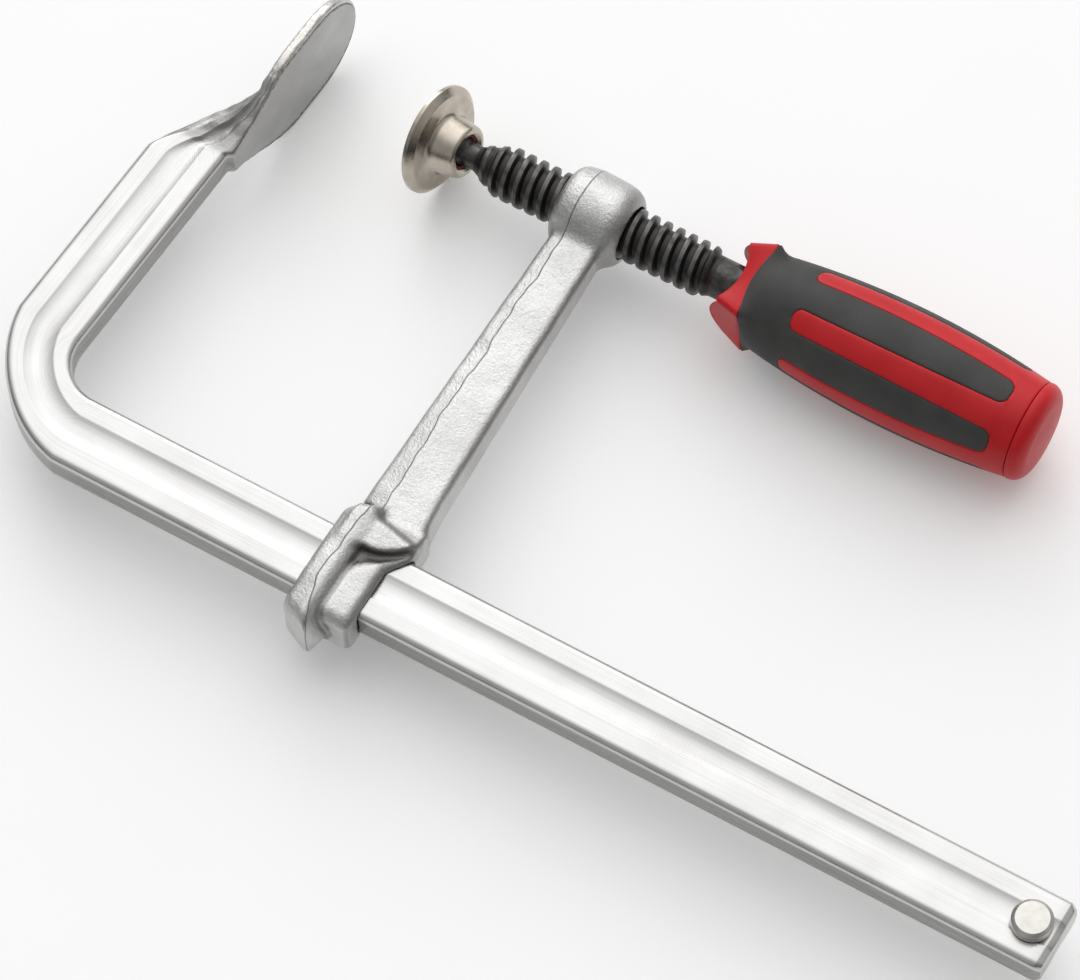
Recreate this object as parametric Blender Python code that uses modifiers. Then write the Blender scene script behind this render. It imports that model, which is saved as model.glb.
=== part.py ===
"""All-steel screw clamp, 250 mm opening and 120 mm throat.

The clamp lies on its side. The origin is the middle of the fixed jaw's face, on the screw's axis.
+X runs along the screw towards the handle, +Y from the rail to the jaws, and +Z across the clamp.
"""
import math

import bpy
import bmesh
from mathutils import Matrix, Vector

MM = 0.001
ACROSS = Vector((1, 0, 0))        # along the screw
UPRIGHT = Vector((0, 0, 1))

# Sizes that the whole clamp follows
THROAT = 120 * MM                 # screw axis to the rail's inner edge
TOUCH_GAP = 0.3 * MM              # between pieces that touch
CUT_OVERRUN = 3 * MM              # how far a cutter reaches past what it cuts
WELD = 0.001 * MM
SMOOTH_ANGLE = math.radians(32)
ROUND_STEPS = 36
CORNER_STEPS = 3

# Rail, bend, fixed arm and jaw, one forging
RAIL_WIDTH = 22 * MM
RAIL_THICK = 10.5 * MM
RAIL_CORNER = 2.2 * MM
RAIL_END_X = 311.5 * MM
RAIL_END_CHAMFER = 1.6 * MM
GROOVE_WIDTH = 8.7 * MM
GROOVE_DEPTH = 0.9 * MM
BEND_INNER = 13 * MM              # radius inside the bend
BEND_THINNING = 3.2 * MM          # the bar draws in on the outside of the bend
BEND_STEPS = 12
ARM_WIDTH = 21.2 * MM
ARM_LEAN = math.radians(3.3)      # the fixed arm and its face lean in over the opening
ARM_SETBACK = 1.8 * MM            # jaw face to the arm's inner side, at the screw's axis
JAW_HALF_WIDTH = 17.4 * MM
JAW_THICK = 3.2 * MM
JAW_EDGE = 1.1 * MM
JAW_HEEL_Y = -34.8 * MM           # lower end of the flat face
JAW_WIDEST_Y = 6 * MM
JAW_TOP_Y = 25 * MM
ARM_END_Y = -48 * MM              # last plain section of the arm
JAW_SPREAD_Y = -36.8 * MM         # where the bar starts to spread and thin out
JAW_RIM_Y = -16 * MM              # where the rim has thinned to the plate
HEEL_STEP = 1.4 * MM
SPREAD_SHARES = (0.13, 0.2, 0.27, 0.36, 0.45, 0.54, 0.66, 0.82)
RIDGE_POWER = 2.3                 # how fast the ridge behind the face dies out
RIM_POWER = 1.8                   # and how fast the rim does
CROWN_STEPS = 7
CROWN_POWER = 2.1                 # a little squarer than an ellipse
CROWN_LAST_SHARE = 0.93
SPREAD_LEAD_SHARE = 1.35          # the face is full width before its widest point
PLATE_RIM_SHARES = (0.3, 0.5, 0.7)
PLATE_BACK_SHARES = (0.35, 0.7)

# Stop rivet through the rail's free end
RIVET_END_GAP = 8 * MM            # rivet axis to the rail's end
RIVET_SHANK = 3 * MM              # radius
RIVET_HEAD = 5.8 * MM             # radius
RIVET_HEAD_HEIGHT = 3.1 * MM
RIVET_CHAMFER = 0.8 * MM

# Screw: trapezoidal thread, 16 mm across, 4 mm pitch, right hand
PITCH = 4 * MM
THREAD_CREST = 7.85 * MM          # radius
THREAD_CORE = 5.95 * MM           # radius, and the plain shank's
THREAD_START = 60.4 * MM
THREAD_TURNS = 19
THREAD_FADE_SHARE = 1.0           # of the pitch, over which the thread runs in and out
THREAD_BLANK_SHARE = 0.7          # of the pitch, left plain at each end
THREAD_SEGMENTS = 24
THREAD_SHARES = ((0.17, 0), (0.34, 1), (0.66, 1), (0.83, 0))
NUT_CLEARANCE = 0.3 * MM          # radial, between screw and boss
NUT_WIDEN_SHARE = 0.06            # of the pitch, on each flank
RUN_IN_TURNS = 2                  # turns of the cutter outside the boss, where it is not yet full
BALL_X = 49.4 * MM
BALL_RADIUS = 5 * MM
BALL_STEPS = 7
NECK_RADIUS = 3.2 * MM
NECK_END_X = 56.5 * MM
NECK_CONE = 3 * MM                # length of the cone up to the thread's core
SHANK_DEPTH = 10.8 * MM           # how far the round shank goes into the handle
TANG_HALF = 4.2 * MM              # half the square tang inside the handle
TANG_CORNER = 5.5 * MM            # radius over its corners
TANG_LENGTH = 42 * MM

# Swivel pad, whose ball is held between a seat and a ring
PAD_RADIUS = 16.2 * MM
PAD_BEVEL_RADIUS = 14.2 * MM
PAD_FACE_EDGE = 0.5 * MM
PAD_RIM = 1.3 * MM                # face to the rim's back edge
PAD_FLANGE = 3 * MM               # face to the end of the bevel
PAD_HUB_START = 3.8 * MM          # face to the foot of the hub
PAD_HUB_RADIUS = 9 * MM
PAD_MOUTH_RADIUS = 7.7 * MM
PAD_MOUTH_EDGE = 0.9 * MM
PAD_HEIGHT = 11.6 * MM
PAD_FRONT_WALL = 1.15 * MM
SEAT_GAP = 0.25 * MM              # between ball, seats and pad
SEAT_WALL = 0.75 * MM
PAD_DROOP = math.radians(11.3)    # the pad hangs tilted on its ball
PAD_DROOP_SIDE = math.radians(110)
CAVITY_STEPS = 9
SEAT_STEPS = 6
SEAT_RIM = math.radians(101)
SEAT_EYE = math.radians(160)
RING_BACK = math.radians(58)
RING_FRONT = math.radians(81)

# Sliding arm: boss, web and eye in one forging, parted in a plane across the rail
PARTING_X = 91.3 * MM
BOSS_LEFT_X = 84.6 * MM
BOSS_RIGHT_X = 106.4 * MM
BOSS_RADIUS = 12.7 * MM
BOSS_ROUND = 2.6 * MM
WEB_LEFT_TOP_X = 87.4 * MM
WEB_LEFT_FOOT_X = 85.7 * MM
WEB_RIGHT_TOP_X = 102.7 * MM
WEB_RIGHT_FOOT_X = 105.9 * MM
WEB_TOP_Y = -9 * MM
WEB_FOOT_Y = -114 * MM
WEB_HALF_TOP = 5.5 * MM
WEB_HALF_FOOT = 6.5 * MM
WEB_BLEND = 3.6 * MM              # how much the web thickens at the boss and the eye
WEB_BLEND_LENGTH = 17 * MM
WEB_ROUND = 2.4 * MM
WEB_DRAFT_LEFT_SHARE = 0.28       # fall of the front face per unit of width
WEB_DRAFT_RIGHT_SHARE = 0.05
WEB_SHARES = (0, 0.05, 0.1, 0.16, 0.5, 0.84, 0.9, 0.95, 1)
EYE_LEFT_X = 83.5 * MM
EYE_RIGHT_X = 106.6 * MM
EYE_TOP_Y = -111 * MM
EYE_BOTTOM_Y = -152.5 * MM
EYE_HALF = 10.6 * MM
EYE_CORNER = 6.5 * MM
EYE_SINK_LEFT = 1.6 * MM          # how far its ends draw in from the parting plane
EYE_SINK_RIGHT = 3.1 * MM
EYE_ROUND = 1.5 * MM
RAIL_CLEARANCE = 0.35 * MM

# Handle
COLLAR_FRONT_X = 139.2 * MM
COLLAR_LENGTH = 8.2 * MM
COLLAR_FLAT_FRONT = 10.6 * MM     # axis to the middle of a side
COLLAR_FLAT_BACK = 13 * MM
COLLAR_CORNER = 3.1 * MM
COLLAR_DISH_SHARE = 0.47          # fall of the front face per unit of radius
COLLAR_DISH_RADIUS = 7.6 * MM
COLLAR_ANGLE = math.radians(50.5)
COLLAR_NECK = 12.1 * MM           # radius of the core where it enters the collar
HANDLE_LENGTH = 97.2 * MM         # collar's front to the rim of the cap
HANDLE_RADIUS = 17.35 * MM
HANDLE_REAR_RADIUS = 15.3 * MM
WAIST_RADIUS = 14.15 * MM
WAIST_SETBACK = 3.6 * MM          # from the collar's back
WAIST_TO_WIDEST = 41 * MM
FLARE_ARC = 6.2 * MM
BARREL_STEPS = 9
CAP_THICK = 5 * MM
CAP_DOME = 0.5 * MM
CAP_FACE_RADIUS = 11.2 * MM
CAP_ROUND_STEPS = 5
CAP_SPIGOT_RADIUS = 7 * MM
CAP_SPIGOT_LENGTH = 8 * MM
GRIP_THICK = 2.4 * MM
GRIP_REAR_GAP = 5.8 * MM          # from the cap's seam
STRIP_COUNT = 6
STRIP_SETBACK = 14.2 * MM         # from the collar's back
STRIP_HALF_FRONT = 3.3 * MM
STRIP_HALF_REAR = 4.3 * MM
STRIP_FLARE = 3.7 * MM            # length over which neighbouring strips join
STRIP_HALF_END = 6.8 * MM
STRIP_FOOT = 12.1 * MM            # radius at which a strip's cutter starts
STRIP_TOP = 20 * MM
STRIP_TIP_STEPS = 6
STRIP_FLARE_STEPS = 4

# Sizes that follow from the ones above
RAIL_Y = -(THROAT + RAIL_WIDTH / 2)
RIVET_X = RAIL_END_X - RIVET_END_GAP
SEAT_INNER = BALL_RADIUS + SEAT_GAP
SEAT_OUTER = SEAT_INNER + SEAT_WALL
CAVITY_RADIUS = SEAT_OUTER + SEAT_GAP
PAD_FACE = -(CAVITY_RADIUS + PAD_FRONT_WALL)     # along the pad's axis, from the ball's centre
PAD_MOUTH = PAD_FACE + PAD_HEIGHT
SHANK_END_X = COLLAR_FRONT_X + SHANK_DEPTH
TANG_END_X = SHANK_END_X + TANG_LENGTH
COLLAR_BACK_X = COLLAR_FRONT_X + COLLAR_LENGTH
WAIST_X = COLLAR_BACK_X + WAIST_SETBACK
HANDLE_WIDEST_X = WAIST_X + WAIST_TO_WIDEST
CAP_END_X = COLLAR_FRONT_X + HANDLE_LENGTH
CAP_SEAM_X = CAP_END_X - CAP_THICK
GRIP_END_X = CAP_SEAM_X - GRIP_REAR_GAP
STRIP_START_X = COLLAR_BACK_X + STRIP_SETBACK


def clear_scene():
    for obj in list(bpy.data.objects):
        bpy.data.objects.remove(obj, do_unlink=True)


def make_group(name):
    group = bpy.data.collections.new(name)
    bpy.context.scene.collection.children.link(group)
    return group


def make_material(name, colour, roughness, metallic):
    material = bpy.data.materials.new(name)
    material.use_nodes = True
    shader = material.node_tree.nodes["Principled BSDF"]
    shader.inputs["Base Color"].default_value = (*colour, 1)
    shader.inputs["Roughness"].default_value = roughness
    shader.inputs["Metallic"].default_value = metallic
    return material


def add_object(name, mesh, group):
    obj = bpy.data.objects.new(name, mesh)
    group.objects.link(obj)
    if group is guides:
        obj.hide_render = True
        obj.display_type = "WIRE"
    return obj


def object_from_bmesh(name, bm, group):
    """Turn a bmesh into an object, with every face pointing out."""
    bmesh.ops.recalc_face_normals(bm, faces=bm.faces)
    mesh = bpy.data.meshes.new(name)
    bm.to_mesh(mesh)
    bm.free()
    return add_object(name, mesh, group)


def turned(name, profile, group, closed=False):
    """Turn (along, radius) points about Z. The outer side runs from high to low."""
    points = [(radius, 0, along) for along, radius in profile]
    order = list(range(len(points)))
    if closed:
        order.append(0)
    edges = list(zip(order, order[1:]))
    mesh = bpy.data.meshes.new(name)
    mesh.from_pydata(points, edges, [])
    obj = add_object(name, mesh, group)
    screw = obj.modifiers.new("Turn", "SCREW")
    screw.steps = ROUND_STEPS
    screw.render_steps = ROUND_STEPS
    screw.use_merge_vertices = True
    screw.merge_threshold = WELD
    return obj


def turned_on_screw_axis(name, profile, group, closed=False):
    obj = turned(name, profile, group, closed)
    obj.rotation_euler = (0, math.radians(90), 0)
    return obj


def loft(name, rings, group):
    """Skin a row of rings that have the same number of points, and close both ends."""
    bm = bmesh.new()
    rows = [[bm.verts.new(point) for point in ring] for ring in rings]
    for low, high in zip(rows, rows[1:]):
        join_rings(bm, low, high)
    bm.faces.new(rows[0])
    bm.faces.new(rows[-1])
    return object_from_bmesh(name, bm, group)


def join_rings(bm, low, high):
    for i in range(len(low)):
        following = (i + 1) % len(low)
        bm.faces.new((low[i], low[following], high[following], high[i]))


def boolean(obj, cutter, operation):
    modifier = obj.modifiers.new(operation.title(), "BOOLEAN")
    modifier.operation = operation
    modifier.object = cutter
    modifier.solver = "EXACT"


def settle(obj, material):
    """Apply the modifiers, shade round surfaces smooth and give the piece its material."""
    depsgraph = bpy.context.evaluated_depsgraph_get()
    mesh = bpy.data.meshes.new_from_object(obj.evaluated_get(depsgraph))
    mesh.name = obj.name
    obj.modifiers.clear()
    obj.data = mesh
    mesh.materials.clear()
    mesh.materials.append(material)
    mesh.shade_smooth()
    mesh.set_sharp_from_angle(angle=SMOOTH_ANGLE)


def clamp_share(share):
    return min(max(share, 0), 1)


def smooth_share(share):
    share = clamp_share(share)
    return share * share * (3 - 2 * share)


def between(start, end, share):
    return start + (end - start) * share


# Rail, bend, fixed arm and jaw
def bar_section(half_width, half_thick, corner, groove):
    """Rounded rectangle with a shallow groove along both broad faces, as (across, up) points."""
    groove_half = min(GROOVE_WIDTH / 2, half_width - corner)
    quarter = [(0, half_thick - groove),
               (groove_half * 0.6, half_thick - groove * 0.7),
               (groove_half, half_thick)]
    for step in range(CORNER_STEPS + 1):
        angle = math.pi / 2 * (1 - step / CORNER_STEPS)
        quarter.append((half_width - corner + corner * math.cos(angle),
                        half_thick - corner + corner * math.sin(angle)))
    quarter.append((half_width, 0))
    lower = [(across, -up) for across, up in reversed(quarter[:-1])]
    right = quarter + lower
    left = [(-across, up) for across, up in reversed(right[1:-1])]
    return right + left


def bar_ring(centre, across, half_width, half_thick, corner=RAIL_CORNER, groove=GROOVE_DEPTH):
    section = bar_section(half_width, half_thick, corner, groove)
    return [centre + across * a + UPRIGHT * b for a, b in section]


def face_x(y):
    return y * math.tan(ARM_LEAN)


def arm_inner_x(y):
    return face_x(y) - ARM_SETBACK


def arm_back_x(y):
    return arm_inner_x(y) - ARM_WIDTH / math.cos(ARM_LEAN)


def bend_rings():
    """The bar's sections round the bend, from the rail to the fixed arm."""
    middle_y = RAIL_Y + RAIL_WIDTH / 2 + BEND_INNER
    tangent_y = middle_y + BEND_INNER * math.sin(ARM_LEAN)
    middle = Vector((arm_inner_x(tangent_y) + BEND_INNER * math.cos(ARM_LEAN), middle_y, 0))
    rings = []
    for step in range(BEND_STEPS + 1):
        share = step / BEND_STEPS
        angle = math.radians(270) - share * (math.radians(90) + ARM_LEAN)
        across = Vector((math.cos(angle), math.sin(angle), 0))
        width = between(RAIL_WIDTH, ARM_WIDTH, share) - BEND_THINNING * math.sin(math.pi * share)
        centre = middle + across * (BEND_INNER + width / 2)
        rings.append(bar_ring(centre, across, width / 2, RAIL_THICK / 2))
    return rings


def arm_section(y):
    """The bar as (x, z) points, at a height on the fixed arm or level with the jaw."""
    back_x = arm_back_x(y)
    inner_x = arm_inner_x(y) if y < JAW_HEEL_Y else face_x(y)
    middle_x = (back_x + inner_x) / 2
    section = bar_section((inner_x - back_x) / 2, RAIL_THICK / 2, RAIL_CORNER, GROOVE_DEPTH)
    return [(middle_x - across, up) for across, up in section]


def plate_section(half_width, thick=JAW_THICK, edge=JAW_EDGE, front=0):
    """The jaw's plate as (x, z) points from its face, in the same order as the bar's section."""
    back_x = front - thick
    rim = [(between(back_x + edge, front - edge, share), half_width) for share in PLATE_RIM_SHARES]
    face = []
    for step in range(CORNER_STEPS + 2):
        angle = math.pi / 2 * (1 - step / (CORNER_STEPS + 1))
        face.append((front - edge + edge * math.cos(angle),
                     half_width - edge + edge * math.sin(angle)))
    back = [(back_x + edge * (1 - math.cos(angle)), half_width - edge * (1 - math.sin(angle)))
            for angle in (math.pi / 2, math.pi / 4, 0)]
    flat = [(back_x, (half_width - edge) * share) for share in reversed(PLATE_BACK_SHARES)]
    upper = [(front, 0)] + face[::-1] + rim[::-1] + back + flat + [(back_x, 0)]
    lower = [(x, -z) for x, z in reversed(upper[1:-1])]
    ring = upper + lower
    start = len(face) + len(rim) // 2 + 1
    return ring[start:] + ring[:start]


def jaw_ring(y):
    """Between the bar and the plate: the rim thins first, and a ridge stays behind the face."""
    spread = smooth_share((y - JAW_SPREAD_Y) / (JAW_WIDEST_Y - JAW_SPREAD_Y) * SPREAD_LEAD_SHARE)
    rim = 1 - (1 - clamp_share((y - JAW_SPREAD_Y) / (JAW_RIM_Y - JAW_SPREAD_Y))) ** RIM_POWER
    ridge = 1 - (1 - clamp_share((y - JAW_SPREAD_Y) / (JAW_WIDEST_Y - JAW_SPREAD_Y))) ** RIDGE_POWER
    ring = []
    for (bar_x, bar_z), (plate_x, plate_z) in zip(arm_section(y), plate_section(JAW_HALF_WIDTH)):
        near_ridge = plate_x <= -JAW_THICK and abs(plate_z) <= JAW_HALF_WIDTH * PLATE_BACK_SHARES[0]
        thinning = ridge if near_ridge else rim
        x = between(bar_x, plate_x + face_x(y), thinning)
        ring.append(Vector((x, y, between(bar_z, plate_z, spread))))
    return ring


def jaw_rings():
    """From the bar, through the spread behind the face, to the jaw's rounded top."""
    heights = [ARM_END_Y, JAW_SPREAD_Y, JAW_HEEL_Y - HEEL_STEP, JAW_HEEL_Y]
    heights += [between(JAW_SPREAD_Y, JAW_WIDEST_Y, share) for share in SPREAD_SHARES]
    rings = [jaw_ring(y) for y in heights]
    for step in range(CROWN_STEPS):
        angle = math.pi / 2 * CROWN_LAST_SHARE * step / (CROWN_STEPS - 1)
        y = between(JAW_WIDEST_Y, JAW_TOP_Y, math.sin(angle) ** (2 / CROWN_POWER))
        half_width = JAW_HALF_WIDTH * math.cos(angle) ** (2 / CROWN_POWER)
        rings.append([Vector((x + face_x(y), y, z)) for x, z in plate_section(half_width)])
    last = plate_section(JAW_EDGE * 2, JAW_THICK - JAW_EDGE * 1.4, JAW_EDGE / 3, -JAW_EDGE * 0.7)
    rings.append([Vector((x + face_x(JAW_TOP_Y), JAW_TOP_Y, z)) for x, z in last])
    return rings


def build_rail_frame():
    along = ACROSS.cross(UPRIGHT)
    end = Vector((RAIL_END_X, RAIL_Y, 0))
    chamfer = Vector((RAIL_END_CHAMFER, 0, 0))
    rings = [bar_ring(end, along, RAIL_WIDTH / 2 - RAIL_END_CHAMFER / 2,
                      RAIL_THICK / 2 - RAIL_END_CHAMFER * 0.8),
             bar_ring(end - chamfer, along, RAIL_WIDTH / 2, RAIL_THICK / 2)]
    rings += bend_rings() + jaw_rings()
    frame = loft("rail_frame", rings, parts)
    hole_half = RAIL_THICK / 2 + CUT_OVERRUN
    radius = RIVET_SHANK + TOUCH_GAP
    hole = turned("rivet_hole", [(hole_half, 0), (hole_half, radius), (-hole_half, radius),
                                 (-hole_half, 0)], guides)
    hole.location = (RIVET_X, RAIL_Y, 0)
    boolean(frame, hole, "DIFFERENCE")
    return frame


def build_stop_rivet():
    seat = RAIL_THICK / 2 + TOUCH_GAP
    top = seat + RIVET_HEAD_HEIGHT
    rim = top - RIVET_CHAMFER
    half = [(top, 0), (top, RIVET_HEAD - RIVET_CHAMFER), (rim, RIVET_HEAD), (seat, RIVET_HEAD),
            (seat, RIVET_SHANK)]
    other = [(-along, radius) for along, radius in reversed(half)]
    rivet = turned("stop_rivet", half + other, parts)
    rivet.location = (RIVET_X, RAIL_Y, 0)
    return rivet


# Screw
def axis_ring(bm, x, radius_at):
    """A ring of points about the screw's axis. Angles run from +Y towards +Z."""
    ring = []
    for segment in range(THREAD_SEGMENTS):
        angle = math.tau * segment / THREAD_SEGMENTS
        radius = radius_at(angle)
        ring.append(bm.verts.new((x, radius * math.cos(angle), radius * math.sin(angle))))
    return ring


def square_radius(half, corner):
    """Radius over a square bar with rounded corners, as a function of the angle."""
    return lambda angle: min(half / max(abs(math.cos(angle)), abs(math.sin(angle))), corner)


def thread_rows(bm, start, turns, crest, core, widen_share):
    """Helical rows of points, four to a pitch, that run in and out of the plain core."""
    rows = []
    blank = start + THREAD_BLANK_SHARE * PITCH
    last = start + (turns - THREAD_BLANK_SHARE) * PITCH
    for number in range(turns * len(THREAD_SHARES) + 1):
        share, level = THREAD_SHARES[number % len(THREAD_SHARES)]
        share += widen_share if share > 0.5 else -widen_share
        row = []
        for segment in range(THREAD_SEGMENTS):
            turn = segment / THREAD_SEGMENTS
            x = start + PITCH * (number // len(THREAD_SHARES) + share + turn)
            fade = min(x - blank, last - x) / (THREAD_FADE_SHARE * PITCH)
            radius = between(core, crest, level * min(max(fade, 0), 1))
            angle = math.tau * turn
            row.append(bm.verts.new((x, radius * math.cos(angle), radius * math.sin(angle))))
        rows.append(row)
    return rows


def skin_thread(bm, before, rows, after):
    """Join the helical rows to each other and to the plain rings on both sides."""
    last = THREAD_SEGMENTS - 1
    lead = len(THREAD_SHARES)
    for segment in range(last):
        beside = segment + 1
        bm.faces.new((before[segment], before[beside], rows[0][beside], rows[0][segment]))
        bm.faces.new((rows[-1][segment], rows[-1][beside], after[beside], after[segment]))
        for low, high in zip(rows, rows[1:]):
            bm.faces.new((low[segment], low[beside], high[beside], high[segment]))
    for number in range(len(rows) - 1 - lead):
        bm.faces.new((rows[number][last], rows[number + lead][0], rows[number + lead + 1][0],
                      rows[number + 1][last]))
    bm.faces.new([before[last], before[0]] + [row[0] for row in rows[:lead + 1]] + [rows[0][last]])
    bm.faces.new([rows[-1][0], after[0], after[last]] + [row[last] for row in rows[:-lead - 2:-1]])


def build_spindle():
    bm = bmesh.new()
    neck_angle = math.asin(NECK_RADIUS / BALL_RADIUS)
    tip = bm.verts.new((BALL_X - BALL_RADIUS, 0, 0))
    rings = []
    for step in range(1, BALL_STEPS + 1):
        angle = between(math.pi, neck_angle, step / BALL_STEPS)
        radius = BALL_RADIUS * math.sin(angle)
        rings.append(axis_ring(bm, BALL_X + BALL_RADIUS * math.cos(angle), lambda _: radius))
    rings.append(axis_ring(bm, NECK_END_X, lambda _: NECK_RADIUS))
    rings.append(axis_ring(bm, NECK_END_X + NECK_CONE, lambda _: THREAD_CORE))
    rings.append(axis_ring(bm, THREAD_START, lambda _: THREAD_CORE))
    for segment in range(THREAD_SEGMENTS):
        bm.faces.new((tip, rings[0][segment], rings[0][(segment + 1) % THREAD_SEGMENTS]))
    for low, high in zip(rings, rings[1:]):
        join_rings(bm, low, high)
    rows = thread_rows(bm, THREAD_START, THREAD_TURNS, THREAD_CREST, THREAD_CORE, 0)
    after_x = THREAD_START + (THREAD_TURNS + THREAD_SHARES[0][0] + 1) * PITCH
    after = axis_ring(bm, after_x, lambda _: THREAD_CORE)
    skin_thread(bm, rings[-1], rows, after)
    tang = square_radius(TANG_HALF, TANG_CORNER)
    rear = [after,
            axis_ring(bm, SHANK_END_X, lambda _: THREAD_CORE),
            axis_ring(bm, SHANK_END_X, tang),
            axis_ring(bm, TANG_END_X, tang)]
    for low, high in zip(rear, rear[1:]):
        join_rings(bm, low, high)
    bm.faces.new(rear[-1])
    return object_from_bmesh("spindle", bm, parts)


# Swivel pad, its ball seat and its ring
def place_on_ball(obj):
    """Put a turned piece on the ball, with its axis drooping as the free pad hangs."""
    side = Vector((0, math.cos(PAD_DROOP_SIDE), math.sin(PAD_DROOP_SIDE)))
    axis = ACROSS * math.cos(PAD_DROOP) + side * math.sin(PAD_DROOP)
    obj.rotation_euler = UPRIGHT.rotation_difference(axis).to_euler()
    obj.location = (BALL_X, 0, 0)


def arc_points(radius, start, end, steps):
    """(along, radius) points on a circle about the origin, by angle from the axis."""
    angles = [between(start, end, step / steps) for step in range(steps + 1)]
    return [(radius * math.cos(angle), radius * math.sin(angle)) for angle in angles]


def zone_ring(name, start, end):
    """A spherical band between the ball and the pad's cavity."""
    outer = arc_points(SEAT_OUTER, start, end, SEAT_STEPS)
    inner = arc_points(SEAT_INNER, end, start, SEAT_STEPS)
    return turned(name, outer + inner, parts, closed=True)


def build_ball_seat():
    seat = zone_ring("ball_seat", SEAT_RIM, SEAT_EYE)
    seat.rotation_euler = (0, math.radians(90), 0)
    seat.location = (BALL_X, 0, 0)
    return seat


def build_seat_ring():
    ring = zone_ring("seat_ring", RING_BACK, RING_FRONT)
    place_on_ball(ring)
    return ring


def build_swivel_pad():
    mouth_angle = math.acos(PAD_MOUTH / CAVITY_RADIUS)
    cavity = arc_points(CAVITY_RADIUS, math.pi, mouth_angle, CAVITY_STEPS)
    cavity[0] = (-CAVITY_RADIUS, 0)
    outside = [(PAD_MOUTH, PAD_MOUTH_RADIUS - PAD_MOUTH_EDGE),
               (PAD_MOUTH - PAD_MOUTH_EDGE, PAD_MOUTH_RADIUS),
               (PAD_FACE + PAD_HUB_START, PAD_HUB_RADIUS),
               (PAD_FACE + PAD_FLANGE, PAD_BEVEL_RADIUS),
               (PAD_FACE + PAD_RIM, PAD_RADIUS),
               (PAD_FACE + PAD_FACE_EDGE, PAD_RADIUS),
               (PAD_FACE, PAD_RADIUS - PAD_FACE_EDGE),
               (PAD_FACE, 0)]
    pad = turned("swivel_pad", cavity + outside, parts)
    place_on_ball(pad)
    return pad


# Sliding arm
def web_section(left, right, half_thick):
    """(x, z) points round the web, thickest at the parting plane."""
    left_z = half_thick - WEB_DRAFT_LEFT_SHARE * (PARTING_X - left)
    right_z = half_thick - WEB_DRAFT_RIGHT_SHARE * (right - PARTING_X)
    top = [(left, left_z - WEB_ROUND / 2),
           (left + WEB_ROUND / 4, left_z),
           (PARTING_X, half_thick),
           (right - WEB_ROUND, right_z),
           (right - WEB_ROUND / 3, right_z - WEB_ROUND / 3),
           (right, right_z - WEB_ROUND)]
    return top + [(x, -z) for x, z in reversed(top)]


def build_web():
    rings = []
    length = WEB_TOP_Y - WEB_FOOT_Y
    for share in WEB_SHARES:
        y = between(WEB_TOP_Y, WEB_FOOT_Y, share)
        end_gap = min(share, 1 - share) * length
        blend = WEB_BLEND * (1 - min(end_gap / WEB_BLEND_LENGTH, 1)) ** 2
        half_thick = between(WEB_HALF_TOP, WEB_HALF_FOOT, share) + blend
        section = web_section(between(WEB_LEFT_TOP_X, WEB_LEFT_FOOT_X, share),
                              between(WEB_RIGHT_TOP_X, WEB_RIGHT_FOOT_X, share), half_thick)
        rings.append([Vector((x, y, z)) for x, z in section])
    return loft("sliding_arm", rings, parts)


def eye_ring(x, sink):
    """Rounded rectangle across the rail, drawn in by sink on every side."""
    middle = Vector((x, (EYE_TOP_Y + EYE_BOTTOM_Y) / 2, 0))
    upward = UPRIGHT.cross(ACROSS)
    half_height = (EYE_TOP_Y - EYE_BOTTOM_Y) / 2 - sink
    return bar_ring(middle, upward, half_height, EYE_HALF - sink, EYE_CORNER, 0)


def build_eye():
    rings = [eye_ring(EYE_LEFT_X, EYE_SINK_LEFT + EYE_ROUND),
             eye_ring(EYE_LEFT_X + EYE_ROUND, EYE_SINK_LEFT),
             eye_ring(PARTING_X, 0),
             eye_ring(EYE_RIGHT_X - EYE_ROUND, EYE_SINK_RIGHT - EYE_ROUND),
             eye_ring(EYE_RIGHT_X, EYE_SINK_RIGHT)]
    return loft("eye", rings, guides)


def build_boss():
    profile = [(BOSS_RIGHT_X, 0), (BOSS_RIGHT_X, BOSS_RADIUS - BOSS_ROUND),
               (BOSS_RIGHT_X - BOSS_ROUND * 0.3, BOSS_RADIUS - BOSS_ROUND * 0.3),
               (BOSS_RIGHT_X - BOSS_ROUND, BOSS_RADIUS),
               (BOSS_LEFT_X + BOSS_ROUND, BOSS_RADIUS),
               (BOSS_LEFT_X + BOSS_ROUND * 0.3, BOSS_RADIUS - BOSS_ROUND * 0.3),
               (BOSS_LEFT_X, BOSS_RADIUS - BOSS_ROUND), (BOSS_LEFT_X, 0)]
    return turned_on_screw_axis("boss", profile, guides)


def build_rail_hole():
    along = UPRIGHT.cross(ACROSS)
    rings = []
    for x in (EYE_LEFT_X - CUT_OVERRUN, EYE_RIGHT_X + CUT_OVERRUN):
        rings.append(bar_ring(Vector((x, RAIL_Y, 0)), along, RAIL_WIDTH / 2 + RAIL_CLEARANCE,
                              RAIL_THICK / 2 + RAIL_CLEARANCE, RAIL_CORNER, 0))
    return loft("rail_hole", rings, guides)


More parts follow.
